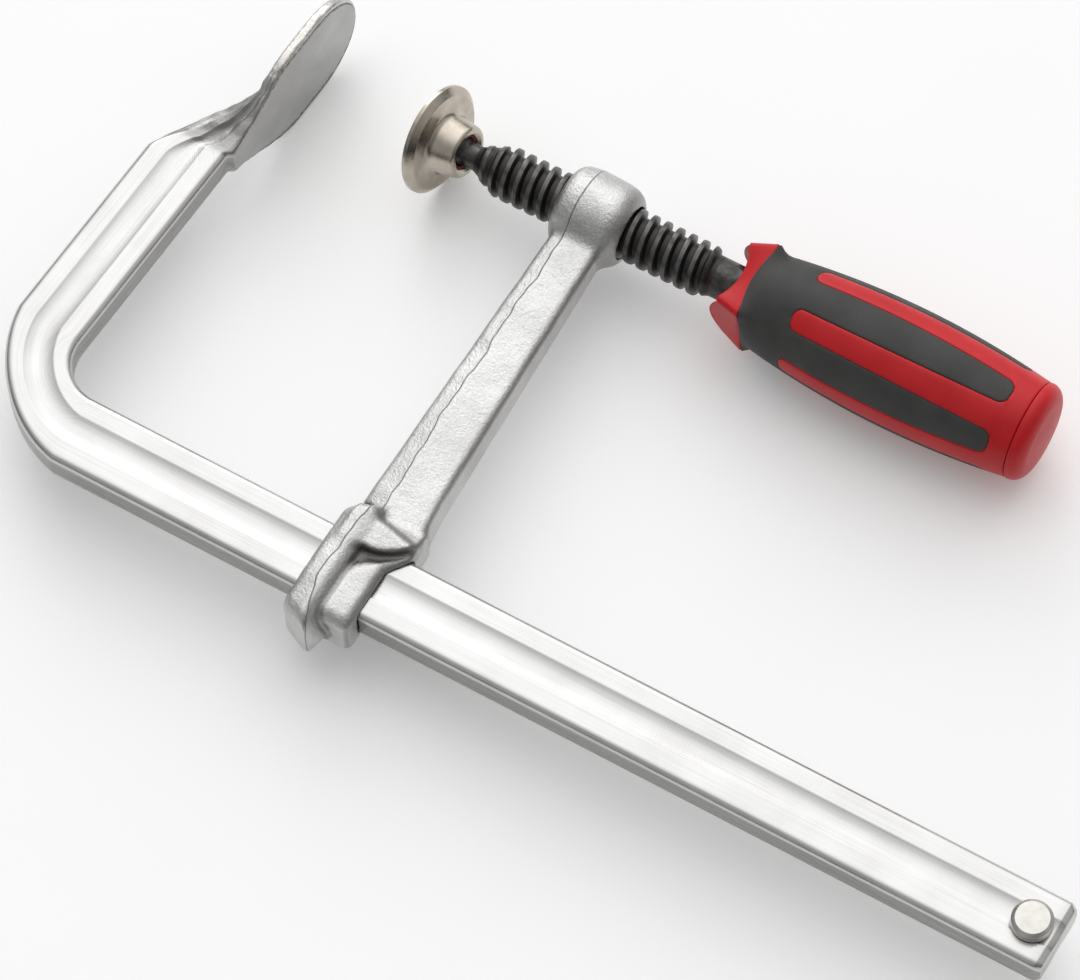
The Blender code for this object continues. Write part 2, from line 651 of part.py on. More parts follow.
def build_nut_thread():
    """The screw's own thread, a little larger, to cut the boss with."""
    bm = bmesh.new()
    skipped = math.floor((BOSS_LEFT_X - CUT_OVERRUN - THREAD_START) / PITCH) - RUN_IN_TURNS
    start = THREAD_START + skipped * PITCH
    turns = math.ceil((BOSS_RIGHT_X + CUT_OVERRUN - start) / PITCH) + RUN_IN_TURNS
    core = THREAD_CORE + NUT_CLEARANCE
    crest = THREAD_CREST + NUT_CLEARANCE
    before = axis_ring(bm, start, lambda _: core)
    rows = thread_rows(bm, start, turns, crest, core, NUT_WIDEN_SHARE)
    after = axis_ring(bm, start + (turns + THREAD_SHARES[0][0] + 1) * PITCH, lambda _: core)
    skin_thread(bm, before, rows, after)
    bm.faces.new(before)
    bm.faces.new(after)
    return object_from_bmesh("nut_thread", bm, guides)


def build_sliding_arm():
    arm = build_web()
    boolean(arm, build_boss(), "UNION")
    boolean(arm, build_eye(), "UNION")
    boolean(arm, build_rail_hole(), "DIFFERENCE")
    boolean(arm, build_nut_thread(), "DIFFERENCE")
    return arm


# Handle
def barrel_radius(x):
    """Outer radius of the handle, from the flare behind the collar to the cap."""
    if x < WAIST_X:
        return WAIST_RADIUS + (WAIST_X - x) ** 2 / FLARE_ARC / 2
    away = (x - HANDLE_WIDEST_X) / WAIST_TO_WIDEST
    arch = HANDLE_RADIUS - (HANDLE_RADIUS - WAIST_RADIUS) * away ** 2
    return arch if x < HANDLE_WIDEST_X else max(arch, HANDLE_REAR_RADIUS)


def barrel_profile(start, end, depth=0):
    """(x, radius) points from end to start, at a depth under the outer surface."""
    places = [start, (start + WAIST_X) / 2]
    places += [between(WAIST_X, end, step / BARREL_STEPS) for step in range(BARREL_STEPS + 1)]
    return [(x, barrel_radius(x) - depth) for x in reversed(places)]


def strip_outline(narrow):
    """Half of a red strip seen from above: round tip, long taper and a flare at the rear."""
    tip = STRIP_HALF_FRONT - narrow
    half = []
    for step in range(STRIP_TIP_STEPS + 1):
        angle = math.pi / 2 * step / STRIP_TIP_STEPS
        half.append((STRIP_START_X + narrow + tip * (1 - math.cos(angle)), tip * math.sin(angle)))
    rear = STRIP_HALF_REAR - narrow
    for step in range(STRIP_FLARE_STEPS + 1):
        angle = math.pi / 2 * step / STRIP_FLARE_STEPS
        half.append((GRIP_END_X - STRIP_FLARE * (1 - math.sin(angle)) + narrow,
                     between(rear, STRIP_HALF_END - narrow, 1 - math.cos(angle))))
    half.append((GRIP_END_X + CUT_OVERRUN, STRIP_HALF_END - narrow))
    return half + [(x, -y) for x, y in reversed(half[1:])]


def build_strips(name, narrow):
    """Six upright blocks round the axis, each with a strip's outline."""
    bm = bmesh.new()
    for number in range(STRIP_COUNT):
        turn = Matrix.Rotation(math.tau * number / STRIP_COUNT - math.pi / 2, 3, "X")
        base = [bm.verts.new(turn @ Vector((x, y, STRIP_FOOT))) for x, y in strip_outline(narrow)]
        face = bm.faces.new(base)
        grown = bmesh.ops.extrude_face_region(bm, geom=[face], use_keep_orig=True)
        risen = [item for item in grown["geom"] if isinstance(item, bmesh.types.BMVert)]
        lift = turn @ Vector((0, 0, STRIP_TOP - STRIP_FOOT))
        bmesh.ops.translate(bm, verts=risen, vec=lift)
    return object_from_bmesh(name, bm, guides)


def grip_shell(name, group, grow):
    """The grey grip, or with a positive grow the room that the core leaves for it."""
    start = COLLAR_BACK_X + TOUCH_GAP - grow
    end = GRIP_END_X + grow
    outer = barrel_profile(start, end, -CUT_OVERRUN if grow else 0)
    inner = barrel_profile(start, end, GRIP_THICK + grow)
    shell = turned_on_screw_axis(name, outer + inner[::-1], group, closed=True)
    boolean(shell, build_strips(name + "_strips", grow), "DIFFERENCE")
    return shell


def build_handle_grip():
    return grip_shell("handle_grip", parts, 0)


def build_collar():
    """Tapered square collar with round corners and a dished front."""
    def ring(x_at, flat):
        section = bar_section(flat, flat, COLLAR_CORNER, 0)
        turn = Matrix.Rotation(COLLAR_ANGLE - math.pi / 4, 3, "X")
        return [turn @ Vector((x_at(math.hypot(a, b)), a, b)) for a, b in section]

    corner_middle = COLLAR_FLAT_FRONT - COLLAR_CORNER
    corner = math.hypot(corner_middle, corner_middle) + COLLAR_CORNER
    front = ring(lambda radius: COLLAR_FRONT_X + (corner - radius) * COLLAR_DISH_SHARE,
                 COLLAR_FLAT_FRONT)
    dish_x = COLLAR_FRONT_X + (corner - COLLAR_DISH_RADIUS) * COLLAR_DISH_SHARE
    inner = []
    for point in front:
        radial = Vector((0, point.y, point.z)).normalized() * COLLAR_DISH_RADIUS
        inner.append(Vector((dish_x, radial.y, radial.z)))
    back = ring(lambda radius: COLLAR_BACK_X, COLLAR_FLAT_BACK)
    return loft("handle_core", [back, front, inner], parts)


def build_core_barrel():
    start = COLLAR_BACK_X + TOUCH_GAP
    profile = [(CAP_SEAM_X, 0)] + barrel_profile(start, CAP_SEAM_X)
    root = COLLAR_BACK_X - CUT_OVERRUN / 2
    profile += [(start, COLLAR_NECK), (root, COLLAR_NECK), (root, 0)]
    return turned_on_screw_axis("core_barrel", profile, guides)


def build_tang_socket():
    bm = bmesh.new()
    shank = THREAD_CORE + TOUCH_GAP
    square = square_radius(TANG_HALF + TOUCH_GAP, TANG_CORNER + TOUCH_GAP)
    rings = [axis_ring(bm, COLLAR_FRONT_X - CUT_OVERRUN, lambda _: shank),
             axis_ring(bm, SHANK_END_X + TOUCH_GAP, lambda _: shank),
             axis_ring(bm, SHANK_END_X + TOUCH_GAP, square),
             axis_ring(bm, TANG_END_X + TOUCH_GAP, square)]
    for low, high in zip(rings, rings[1:]):
        join_rings(bm, low, high)
    bm.faces.new(rings[0])
    bm.faces.new(rings[-1])
    return object_from_bmesh("tang_socket", bm, guides)


def build_cap_socket():
    radius = CAP_SPIGOT_RADIUS + TOUCH_GAP
    low = CAP_SEAM_X - CAP_SPIGOT_LENGTH - TOUCH_GAP
    high = CAP_SEAM_X + CUT_OVERRUN
    profile = [(high, 0), (high, radius), (low, radius), (low, 0)]
    return turned_on_screw_axis("cap_socket", profile, guides)


def build_handle_core():
    core = build_collar()
    boolean(core, build_core_barrel(), "UNION")
    boolean(core, grip_shell("grip_room", guides, TOUCH_GAP), "DIFFERENCE")
    boolean(core, build_tang_socket(), "DIFFERENCE")
    boolean(core, build_cap_socket(), "DIFFERENCE")
    return core


def build_handle_end_cap():
    seam = CAP_SEAM_X + TOUCH_GAP
    profile = [(CAP_END_X + CAP_DOME, 0), (CAP_END_X, CAP_FACE_RADIUS)]
    for step in range(1, CAP_ROUND_STEPS + 1):
        angle = math.pi / 2 * step / CAP_ROUND_STEPS
        profile.append((between(seam, CAP_END_X, math.cos(angle)),
                        between(CAP_FACE_RADIUS, HANDLE_REAR_RADIUS, math.sin(angle))))
    spigot_end = CAP_SEAM_X - CAP_SPIGOT_LENGTH
    profile += [(seam, CAP_SPIGOT_RADIUS), (spigot_end, CAP_SPIGOT_RADIUS), (spigot_end, 0)]
    return turned_on_screw_axis("handle_end_cap", profile, parts)


clear_scene()
parts = make_group("glue_clamp")
guides = make_group("cutters")

forged_steel = make_material("forged_steel", (0.55, 0.55, 0.53), 0.42, 1)
rail_steel = make_material("rail_steel", (0.6, 0.6, 0.58), 0.35, 1)
rivet_steel = make_material("rivet_steel", (0.5, 0.48, 0.44), 0.35, 1)
black_oxide = make_material("black_oxide", (0.05, 0.05, 0.052), 0.38, 0.8)
nickel = make_material("nickel", (0.68, 0.64, 0.58), 0.25, 1)
seat_plastic = make_material("seat_plastic", (0.5, 0.1, 0.06), 0.5, 0)
red_plastic = make_material("red_plastic", (0.56, 0.018, 0.022), 0.4, 0)
grey_rubber = make_material("grey_rubber", (0.075, 0.072, 0.07), 0.7, 0)

finished = [
    (build_rail_frame(), rail_steel),
    (build_stop_rivet(), rivet_steel),
    (build_sliding_arm(), forged_steel),
    (build_spindle(), black_oxide),
    (build_ball_seat(), seat_plastic),
    (build_seat_ring(), seat_plastic),
    (build_swivel_pad(), nickel),
    (build_handle_core(), red_plastic),
    (build_handle_grip(), grey_rubber),
    (build_handle_end_cap(), red_plastic),
]
bpy.context.view_layer.update()
for piece, piece_material in finished:
    settle(piece, piece_material)
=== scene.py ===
"""Looks of the screw clamp: camera, light, floor, materials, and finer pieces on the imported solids.

Every place is in the part's own frame, in metres. The origin is the middle of the fixed jaw's face,
+X runs along the screw towards the handle, +Y from the rail to the jaws, and +Z across the clamp.
"""

import itertools
import math

import bpy
import bmesh
import numpy as np
from mathutils import Matrix, Vector, noise


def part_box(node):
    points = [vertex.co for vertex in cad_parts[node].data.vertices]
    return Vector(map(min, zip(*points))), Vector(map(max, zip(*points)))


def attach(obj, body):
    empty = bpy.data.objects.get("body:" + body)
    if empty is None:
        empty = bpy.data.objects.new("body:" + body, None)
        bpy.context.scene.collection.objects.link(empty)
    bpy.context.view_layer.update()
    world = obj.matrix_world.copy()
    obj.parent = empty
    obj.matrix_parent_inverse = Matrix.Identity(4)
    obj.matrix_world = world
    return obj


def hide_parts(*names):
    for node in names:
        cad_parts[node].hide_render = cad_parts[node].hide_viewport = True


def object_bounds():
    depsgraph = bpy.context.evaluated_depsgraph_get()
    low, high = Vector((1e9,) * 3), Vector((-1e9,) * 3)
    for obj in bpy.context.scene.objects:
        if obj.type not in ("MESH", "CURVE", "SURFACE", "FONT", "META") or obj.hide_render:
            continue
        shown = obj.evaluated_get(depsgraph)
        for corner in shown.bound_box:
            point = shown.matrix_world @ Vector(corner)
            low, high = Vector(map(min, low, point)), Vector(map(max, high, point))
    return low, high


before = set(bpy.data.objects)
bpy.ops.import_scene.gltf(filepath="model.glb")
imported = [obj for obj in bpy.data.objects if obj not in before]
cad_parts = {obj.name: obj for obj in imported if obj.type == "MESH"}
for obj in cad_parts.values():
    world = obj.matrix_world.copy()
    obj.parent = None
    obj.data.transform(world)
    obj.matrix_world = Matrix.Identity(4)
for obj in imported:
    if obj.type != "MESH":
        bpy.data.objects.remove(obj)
cad_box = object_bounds()

MM = 0.001
ACROSS = Vector((1, 0, 0))
UPRIGHT = Vector((0, 0, 1))
SHARP_DEGREES = 38
MERGE_DISTANCE = 0.002 * MM
WELD_DISTANCE = 0.01 * MM         # for the handle's panels, whose shared edges lie this close

# Camera, as the photograph was taken
CAMERA_PLACE = Vector((580.25, -764.99, 1550.96)) * MM
CAMERA_AZIMUTH = math.radians(33.695)
CAMERA_ELEVATION = math.radians(62.108)
CAMERA_ROLL = math.radians(-3.61)
CAMERA_LENS = 214.5
CAMERA_SENSOR = 36
CAMERA_CLIP = 10

# Light
SKY_BRIGHT = 1.72
SKY_MIDDLE_X = -0.22              # the bright band of the sky lies along Y, a little to the left
SKY_SIDE_SHARE = 0.36
SKY_SIDE_RANGE = (0.12, 0.8)      # from where to where along a unit direction the sky changes
SKY_NEAR_SHARE = 0.28
SKY_NEAR_RANGE = (-0.6, 0.35)
SKY_HORIZON_SHARE = 0.1
SKY_HORIZON_RANGE = (0.04, 0.44)
FLOOR_LIFT = 0.13
FLOOR_SIZE = 4
FLOOR_GAP = 0.5 * MM
KEY_PLACE = (-1.1, 1.4, 0.9)
KEY_SIZE = 1.1
KEY_POWER = 8

# Rail, bend, fixed arm and jaw
RAIL_WIDTH = 22 * MM
RAIL_THICK = 10.5 * MM
RAIL_CORNER = 2.2 * MM
RAIL_Y = -131 * MM
RAIL_END_CHAMFER = 1.6 * MM
RAIL_END_SIDE_SHARE = 0.5         # how far the chamfer goes in, as shares of its length
RAIL_END_FACE_SHARE = 0.8
GROOVE_WIDTH = 8.7 * MM
GROOVE_DEPTH = 0.9 * MM
CREASE = 0.3 * MM                 # how near a crease its supporting points lie
BEND_INNER = 13 * MM
BEND_THINNING = 3.2 * MM
BEND_STEPS = 44
ARM_WIDTH = 21.2 * MM
ARM_LEAN = math.radians(3.3)
ARM_SETBACK = 1.8 * MM
ARM_END_Y = -48 * MM
JAW_HALF_WIDTH = 17.4 * MM
JAW_THICK = 3.2 * MM
JAW_EDGE = 1.1 * MM
JAW_HEEL_Y = -34.8 * MM
JAW_SPREAD_Y = -36.8 * MM
JAW_THIN_Y = -44 * MM
JAW_RIM_Y = -16 * MM
JAW_WIDEST_Y = 6 * MM
JAW_TOP_Y = 25 * MM
HEEL_STEP = 1.4 * MM
RIDGE_HALF_SHARE = 0.5            # of the jaw's half width, where the ridge ends
RIDGE_EDGE_SHARE = 0.3
RIDGE_POWER = 2.6
RIM_POWER = 1.9
CROWN_POWER = 2.1
THIN_EASE = 1.5
SPREAD_LEAD_SHARE = 1.35
JAW_STEPS = 52
JAW_STEP_POWER = 1.15
CROWN_STEPS = 26
FORGED_ROUGHNESS = 0.42 * MM      # how far the forged twist is uneven
FORGED_LUMP = 3.4 * MM
RIM_ROUGHNESS = 0.16 * MM
RIM_LUMP = 1.3 * MM
LUMP_SEED = 5                     # without a seed the lumps differ from run to run
TWIST_START_LENGTH = 5 * MM       # how soon the roughness comes, and how soon it goes
TWIST_END_LENGTH = 9 * MM
RIM_ZONE_Y = -13 * MM             # above here the rim shows its ground material
FORGED_LEAD = 1 * MM
FORGED_LENGTH = 3 * MM
# Shares of the way round a quarter of the bar, from its groove to its side
OUTER_EDGE_WAY = 0.5              # the dark line along the plate's edge, behind and in front
INNER_EDGE_WAY = 4 / 7
RIM_WAY = 0.6                     # the ground rim ends here
FACE_WAY = 0.55                   # the jaw's smooth face starts here
FLANK_WAY = 0.84                  # the bar's flank starts here, darkened in colour with painted shade

# Rivet
RIVET_X = 303.5 * MM
RIVET_SHANK = 3 * MM
RIVET_HEAD = 5.8 * MM
RIVET_HEIGHT = 3.1 * MM
RIVET_CHAMFER = 0.8 * MM
RIVET_DOME = 0.08 * MM
TOUCH_GAP = 0.3 * MM

# Screw
PITCH = 4 * MM
THREAD_CREST = 7.85 * MM
THREAD_CORE = 5.95 * MM
THREAD_START = 56.4 * MM
THREAD_TURNS = 20
THREAD_FADE_SHARE = 1.1
THREAD_RUN_OUT = 0.6              # of the pitch, from the thread's end to that of its last turn
PLAIN_LEVEL = 0.6                 # the painted shade level of places without a thread, where a crest has 1 and a root 0
THREAD_LEAD_RADIUS = 4.1 * MM     # the thread's crest where it starts
THREAD_LEAD_SLOPE = 0.42
THREAD_LEAD_DEPTH = 0.5 * MM
THREAD_ROWS = 12
THREAD_SEGMENTS = 72
CREST_SHARE = 0.15                # of the pitch, crest's middle to where its flank starts
ROOT_SHARE = 0.31
BALL_X = 49.4 * MM
BALL_RADIUS = 5 * MM
NECK_RADIUS = 3.8 * MM
NECK_END_X = 54.4 * MM
NECK_ROUND = 1.2 * MM
SHANK_END_X = 150 * MM

# Swivel pad, in its own axis from the ball's centre
PAD_FACE = -7.4 * MM
PAD_MOUTH = 4.2 * MM
PAD_CAVITY = 6.25 * MM
PAD_RADIUS = 16.2 * MM
PAD_BEVEL_RADIUS = 14.2 * MM
PAD_RIM = 1.3 * MM
PAD_FLANGE = 3 * MM
PAD_HUB_START = 3.8 * MM
PAD_HUB_RADIUS = 9 * MM
PAD_MOUTH_RADIUS = 7.7 * MM
PAD_MOUTH_CHAMFER = 0.8 * MM
PAD_DROOP = math.radians(11.3)
PAD_DROOP_SIDE = math.radians(110)

# Sliding arm
PARTING_X = 91.6 * MM
EYE_PARTING_X = 89.1 * MM
FLASH_WAVES = ((0.32, 5.2, 0), (0.22, 2.3, 1.1), (0.12, 1.07, 2.3))  # (depth, length, shift), mm
FLASH_VEER = 1.3 * MM             # how far the parting line goes right on its way to the eye
FLASH_VEER_Y = -88 * MM
FLASH_VEER_LENGTH = 20 * MM
FLASH_STEP = 2 * MM               # within this length it changes over to the eye's line
FLASH_BOW_Y = -133 * MM           # on the eye it goes right below and above this place
FLASH_BOW_LOW = 2.2 * MM
FLASH_BOW_LOW_LENGTH = 14 * MM
FLASH_BOW_TOP = 1.1 * MM
FLASH_BOW_TOP_LENGTH = 20 * MM
FLASH_CALM_Y = -16 * MM           # above here, on the boss, it wanders less
FLASH_CALM_LENGTH = 4 * MM
FLASH_CALM_SHARE = 0.8
BOSS_LEFT_X = 84.6 * MM
BOSS_RIGHT_X = 106.4 * MM
BOSS_RADIUS = 12.7 * MM
BOSS_ROUND_LEFT = 4.08 * MM
BOSS_ROUND_RIGHT = 6.8 * MM
BOSS_DRAFT_LEFT = 0.13            # slopes away from the parting line
BOSS_DRAFT_RIGHT = 0.035
WEB_LEFT_TOP_X = 87.4 * MM
WEB_LEFT_FOOT_X = 85.7 * MM
WEB_RIGHT_TOP_X = 102.7 * MM
WEB_RIGHT_FOOT_X = 105.9 * MM
WEB_TOP_Y = -9 * MM
WEB_FOOT_Y = -114 * MM
WEB_HALF_TOP = 5.5 * MM
WEB_HALF_FOOT = 6.5 * MM
WEB_ROUND_LEFT = 2.08 * MM
WEB_ROUND_RIGHT = 2.99 * MM
WEB_DRAFT_LEFT = 0.3
WEB_DRAFT_RIGHT = 0.05
WEB_CREST = 0.2 * MM              # how far its face stands out at the parting line
WEB_FLARE = 1.4 * MM              # how far its right edge comes out towards the foot
WEB_FLARE_LENGTH = 14 * MM
WEB_ROOT = 6.5 * MM               # how far it goes on inside the eye
WEB_DIP = 1.5 * MM                # how far the web's face falls away before the raised triangle
WEB_DIP_LENGTH = 3.4 * MM
EYE_LEFT_X = 83.5 * MM
EYE_RIGHT_X = 106.6 * MM
EYE_TOP_Y = -111 * MM
EYE_BOTTOM_Y = -153 * MM
EYE_HALF = 10.6 * MM
EYE_CORNER = 3.8 * MM
EYE_FALL_X = 93.5 * MM            # where the ring's bottom is lowest, rising to both sides
RING_RISE_LEFT = 0.4
RING_RISE_RIGHT = 0.5
RING_DRAFT = 0.3
RING_DROP = 0.5 * MM              # how far the ring reaches past the eye's top and bottom
RING_ROUND = 3 * MM
RING_RIGHT_X = 97.1 * MM          # at half depth, where the eye's tall ring steps down to its collar
RING_RIGHT_SLOPE = 0.45
EYE_COLLAR_HALF = 8.6 * MM
EYE_COLLAR_CORNER = 3.6 * MM
EYE_COLLAR_BOTTOM_Y = -147.7 * MM
EYE_FLOOR_CORNER = 2.6 * MM
EYE_FLOOR_ROUND = 2 * MM
EYE_VALLEY_HALF = 6.6 * MM        # floor of the valley between the ring, the triangle and the collar
MOUTH_X = 103 * MM
MOUTH_ROUND = 3.2 * MM
MOUTH_FLARE = 4.4 * MM            # how much further right the mouth lies next to the web
MOUTH_FLARE_Y = -128 * MM
MOUTH_FLARE_LENGTH = 8 * MM
BULGE_LEFT_X = 92.6 * MM          # left end of the pillow on the collar
BULGE_DRAFT = 0.05
BULGE_GAP = 2 * MM                # from the pillow up to the triangle's lower edge
BULGE_CORNER = 7 * MM
BULGE_ROUND = 3.6 * MM
GUSSET_HALF = 9.7 * MM            # the raised triangle where the web meets the eye
GUSSET_TOP_Y = -113.3 * MM
GUSSET_LOW_Y = -124.1 * MM
GUSSET_LOW_X = 95.6 * MM
GUSSET_LENGTH = 11.2 * MM
GUSSET_TOP_SLOPE = 0.18
GUSSET_RISE = 6.5 * MM
GUSSET_RISE_POWER = 1.9
GUSSET_DRAFT = 0.06
GUSSET_TOP_ROUND = 3 * MM
GUSSET_ROUND = 1.6 * MM
GUSSET_ROOT = 2 * MM
GUSSET_LEAN = 0.85                # from a distance along Y to one across the slanting edge
BULGE_LEAN = 0.9                  # the same for the pillow's upper edge
SMALL_FILLET = 1 * MM
EYE_FILLET = 1.2 * MM
GUSSET_FILLET = 1.8 * MM
BOSS_FILLET = 2.4 * MM
UNEVEN_DEPTH = 0.05 * MM
HOLE_ROUND = 0.4 * MM
BORE_ROUND = 0.5 * MM
BORE_LEAD = 0.6 * MM
BORE_LEAD_SLOPE = 0.8
RAIL_CLEARANCE = 0.35 * MM
NUT_CLEARANCE = 0.3 * MM
NET_STEP = 0.42 * MM
NET_MARGIN = 2 * MM
# how far out the painted shade in the arm's hollows looks for metal
HOLLOW_REACHES = (0.8 * MM, 1.6 * MM, 2.6 * MM)

# Handle
COLLAR_FRONT_X = 139.2 * MM
COLLAR_BACK_X = 147.4 * MM
COLLAR_FLAT_FRONT = 10.2 * MM
COLLAR_FLAT_BACK = 12.4 * MM
COLLAR_CORNER = 1.6 * MM
COLLAR_DISH_SHARE = 0.47
COLLAR_DISH_RADIUS = 7.6 * MM
COLLAR_ANGLE = math.radians(50.5)
COLLAR_TONGUE = 4.4 * MM          # how far the front of two opposite sides comes forward
COLLAR_DRAWN_SHARE = 0.2          # of the tongue, how far the other two sides go back
COLLAR_BORE_SHARE = 0.83          # of the dish's radius, how wide its bottom is
COLLAR_BACK_SHARE = 0.7           # of the collar, where its back ends
COLLAR_HOLLOW = 0.5 * MM
COLLAR_SOFT = 0.5 * MM            # rounding of its edges
GRIP_LIP = 0.15 * MM              # how far the grip's square front stands out from the collar
GRIP_TONGUE = 2.1 * MM            # how far it reaches over two opposite sides
GRIP_SQUARE_END_X = 152.6 * MM
GRIP_SQUARE_POWER = 1.6
WAIST_X = 151 * MM
WAIST_RADIUS = 14.15 * MM
FLARE_ARC = 6.2 * MM
HANDLE_RADIUS = 17.35 * MM
HANDLE_WIDEST_X = 192 * MM
HANDLE_REAR_RADIUS = 14.5 * MM
CAP_SEAM_X = 231.4 * MM
CAP_END_X = 236.4 * MM
CAP_DOME = 0.7 * MM
CAP_FACE_RADIUS = 9.6 * MM
CAP_GAP = 0.12 * MM
CAP_WALL = 1.5 * MM
CAP_RISE_POWER = 0.9
CAP_SPREAD_POWER = 1.1
GRIP_END_X = 225.6 * MM
STRIP_COUNT = 6
STRIP_START_X = 161.6 * MM
STRIP_HALF_FRONT = 3.3 * MM
STRIP_HALF_REAR = 4.3 * MM
STRIP_TIP_ROUND = 2.5 * MM
INLAY_END_ROUND = 2.6 * MM
EDGE_ROUND = 0.45 * MM            # how the grip's and the strips' edges roll down to their seam
EDGE_REACH = 1.1 * EDGE_ROUND
EDGE_PLACES = (0, 0.12, 0.4, 1)   # shares of that reach where a rolled edge has its points
SEAM_DEPTH = 0.9 * MM


# Meshes
def finish_piece(name, bm, materials, sharp_degrees=SHARP_DEGREES):
    """Turn a bmesh into a smooth shaded object with its materials."""
    bmesh.ops.remove_doubles(bm, verts=bm.verts, dist=MERGE_DISTANCE)
    bmesh.ops.recalc_face_normals(bm, faces=bm.faces)
    mesh = bpy.data.meshes.new(name)
    bm.to_mesh(mesh)
    bm.free()
    return finish_mesh(name, mesh, materials, sharp_degrees)


def add_object(name, data):
    made = bpy.data.objects.new(name, data)
    bpy.context.scene.collection.objects.link(made)
    return made


def finish_mesh(name, mesh, materials, sharp_degrees=SHARP_DEGREES):
    for material in materials:
        mesh.materials.append(material)
    mesh.shade_smooth()
    mesh.set_sharp_from_angle(angle=math.radians(sharp_degrees))
    return add_object(name, mesh)


def between(start, end, share):
    return start + (end - start) * share


def clamp_share(share):
    return min(max(share, 0), 1)


def smooth_share(share):
    share = clamp_share(share)
    return share * share * (3 - 2 * share)


def rounded(corners, steps=6):
    """A polyline of (along, radius, rounding) corners as points, with each corner rounded."""
    points = []
    for i, (along, radius, rounding) in enumerate(corners):
        here = Vector((along, radius))
        if not rounding:
            points.append(here)
            continue
        before = (Vector(corners[i - 1][:2]) - here).normalized()
        after = (Vector(corners[i + 1][:2]) - here).normalized()
        half = before.angle(after) / 2
        centre = here + (before + after).normalized() * (rounding / math.sin(half))
        start = here + before * (rounding / math.tan(half)) - centre
        end = here + after * (rounding / math.tan(half)) - centre
        for step in range(steps + 1):
            direction = start.slerp(end, step / steps)
            points.append(centre + direction.normalized() * rounding)
    return points


def skin(bm, low, high, closed=True):
    """Join two rings of bmesh vertices with faces, and return the faces."""
    count = len(low) if closed else len(low) - 1
    faces = []
    for i in range(count):
        k = (i + 1) % len(low)
        faces.append(bm.faces.new((low[i], low[k], high[k], high[i])))
    return faces


def skin_all(bm, rows, closed=True):
    """Join each row of bmesh vertices to the next."""
    for low, high in zip(rows, rows[1:]):
        skin(bm, low, high, closed)


def about_axis(x, radius, angle):
    return Vector((x, radius * math.cos(angle), radius * math.sin(angle)))


def lathe(name, profile, place, materials, segments=96):
    """Turn (along, radius) points about X, then put them in place. Zero radius closes an end."""
    bm = bmesh.new()
    angles = [math.tau * segment / segments for segment in range(segments)]
    skin_all(bm, [[bm.verts.new(place @ about_axis(along, radius, angle)) for angle in angles]
                  for along, radius in profile])
    bmesh.ops.remove_doubles(bm, verts=bm.verts, dist=MERGE_DISTANCE)
    bmesh.ops.dissolve_degenerate(bm, edges=bm.edges, dist=MERGE_DISTANCE / 2)
    return finish_piece(name, bm, materials)


# Rail, bend, fixed arm and jaw
def bar_quarter(half_width, half_thick, corner, groove):
    """A quarter of the bar's outline, as (across, up, share of the way) from groove to side.

    The share counts in sevenths: the groove has 2, the land beside it 1, the corner 3 and the side 1.
    """
    groove_half = min(GROOVE_WIDTH / 2, half_width - corner - CREASE)
    points = []
    for share in (0, 0.2, 0.4, 0.6, 0.8, 0.93, 1):
        points.append((groove_half * share, half_thick - groove * (1 - share ** 2), share * 2 / 7))
    land_end = half_width - corner
    points.append((groove_half + CREASE, half_thick, 0.32))
    points.append((max(land_end - CREASE, groove_half + CREASE), half_thick, 0.4))
    for step in range(7):
        angle = math.pi / 2 * step / 6
        points.append((land_end + corner * math.sin(angle),
                       half_thick - corner * (1 - math.cos(angle)), (3 + 3 * step / 6) / 7))
    points.append((half_width, (half_thick - corner) * 0.88, 0.9))
    points.append((half_width, 0, 1))
    return points


def whole_outline(quarter):
    """Mirror a quarter outline into a ring that starts at its first point and goes to +across."""
    lower = [(a, -b, share) for a, b, share in reversed(quarter[:-1])]
    right = quarter + lower
    left = [(-a, b, share) for a, b, share in reversed(right[1:-1])]
    return right + left


def bar_ring(centre, across, half_width, half_thick, corner=RAIL_CORNER, groove=GROOVE_DEPTH):
    outline = whole_outline(bar_quarter(half_width, half_thick, corner, groove))
    return [centre + across * a + UPRIGHT * b for a, b, _ in outline]


def face_x(y):
    return y * math.tan(ARM_LEAN)


def arm_inner_x(y):
    return face_x(y) - ARM_SETBACK


def arm_back_x(y):
    return arm_inner_x(y) - ARM_WIDTH / math.cos(ARM_LEAN)


def bend_rings():
    middle_y = RAIL_Y + RAIL_WIDTH / 2 + BEND_INNER
    tangent_y = middle_y + BEND_INNER * math.sin(ARM_LEAN)
    middle = Vector((arm_inner_x(tangent_y) + BEND_INNER * math.cos(ARM_LEAN), middle_y, 0))
    rings = []
    for step in range(BEND_STEPS + 1):
        share = step / BEND_STEPS
        angle = math.radians(270) - share * (math.radians(90) + ARM_LEAN)
        across = Vector((math.cos(angle), math.sin(angle), 0))
        width = between(RAIL_WIDTH, ARM_WIDTH, share) - BEND_THINNING * math.sin(math.pi * share)
        centre = middle + across * (BEND_INNER + width / 2)
        rings.append(bar_ring(centre, across, width / 2, RAIL_THICK / 2))
    return rings


def plate_point(share, outer_side):
    """(x from the face, inset from the outline, share to the middle) of a point on the jaw's plate."""
    edge_start, edge_end = (1 / 7, 4 / 7) if outer_side else (2 / 7, 4 / 7)
    middle_x = -JAW_THICK / 2
    reach = JAW_THICK / 2 - JAW_EDGE
    sign = -1 if outer_side else 1
    if share <= edge_start:
        return middle_x + sign * reach * share / edge_start, 0, 0
    if share <= edge_end:
        angle = math.pi / 2 * (share - edge_start) / (edge_end - edge_start)
        x = middle_x + sign * (reach + JAW_EDGE * math.sin(angle))
        return x, JAW_EDGE * (1 - math.cos(angle)), 0
    flat_share = (share - edge_end) / (1 - edge_end)
    return middle_x + sign * JAW_THICK / 2, JAW_EDGE, flat_share


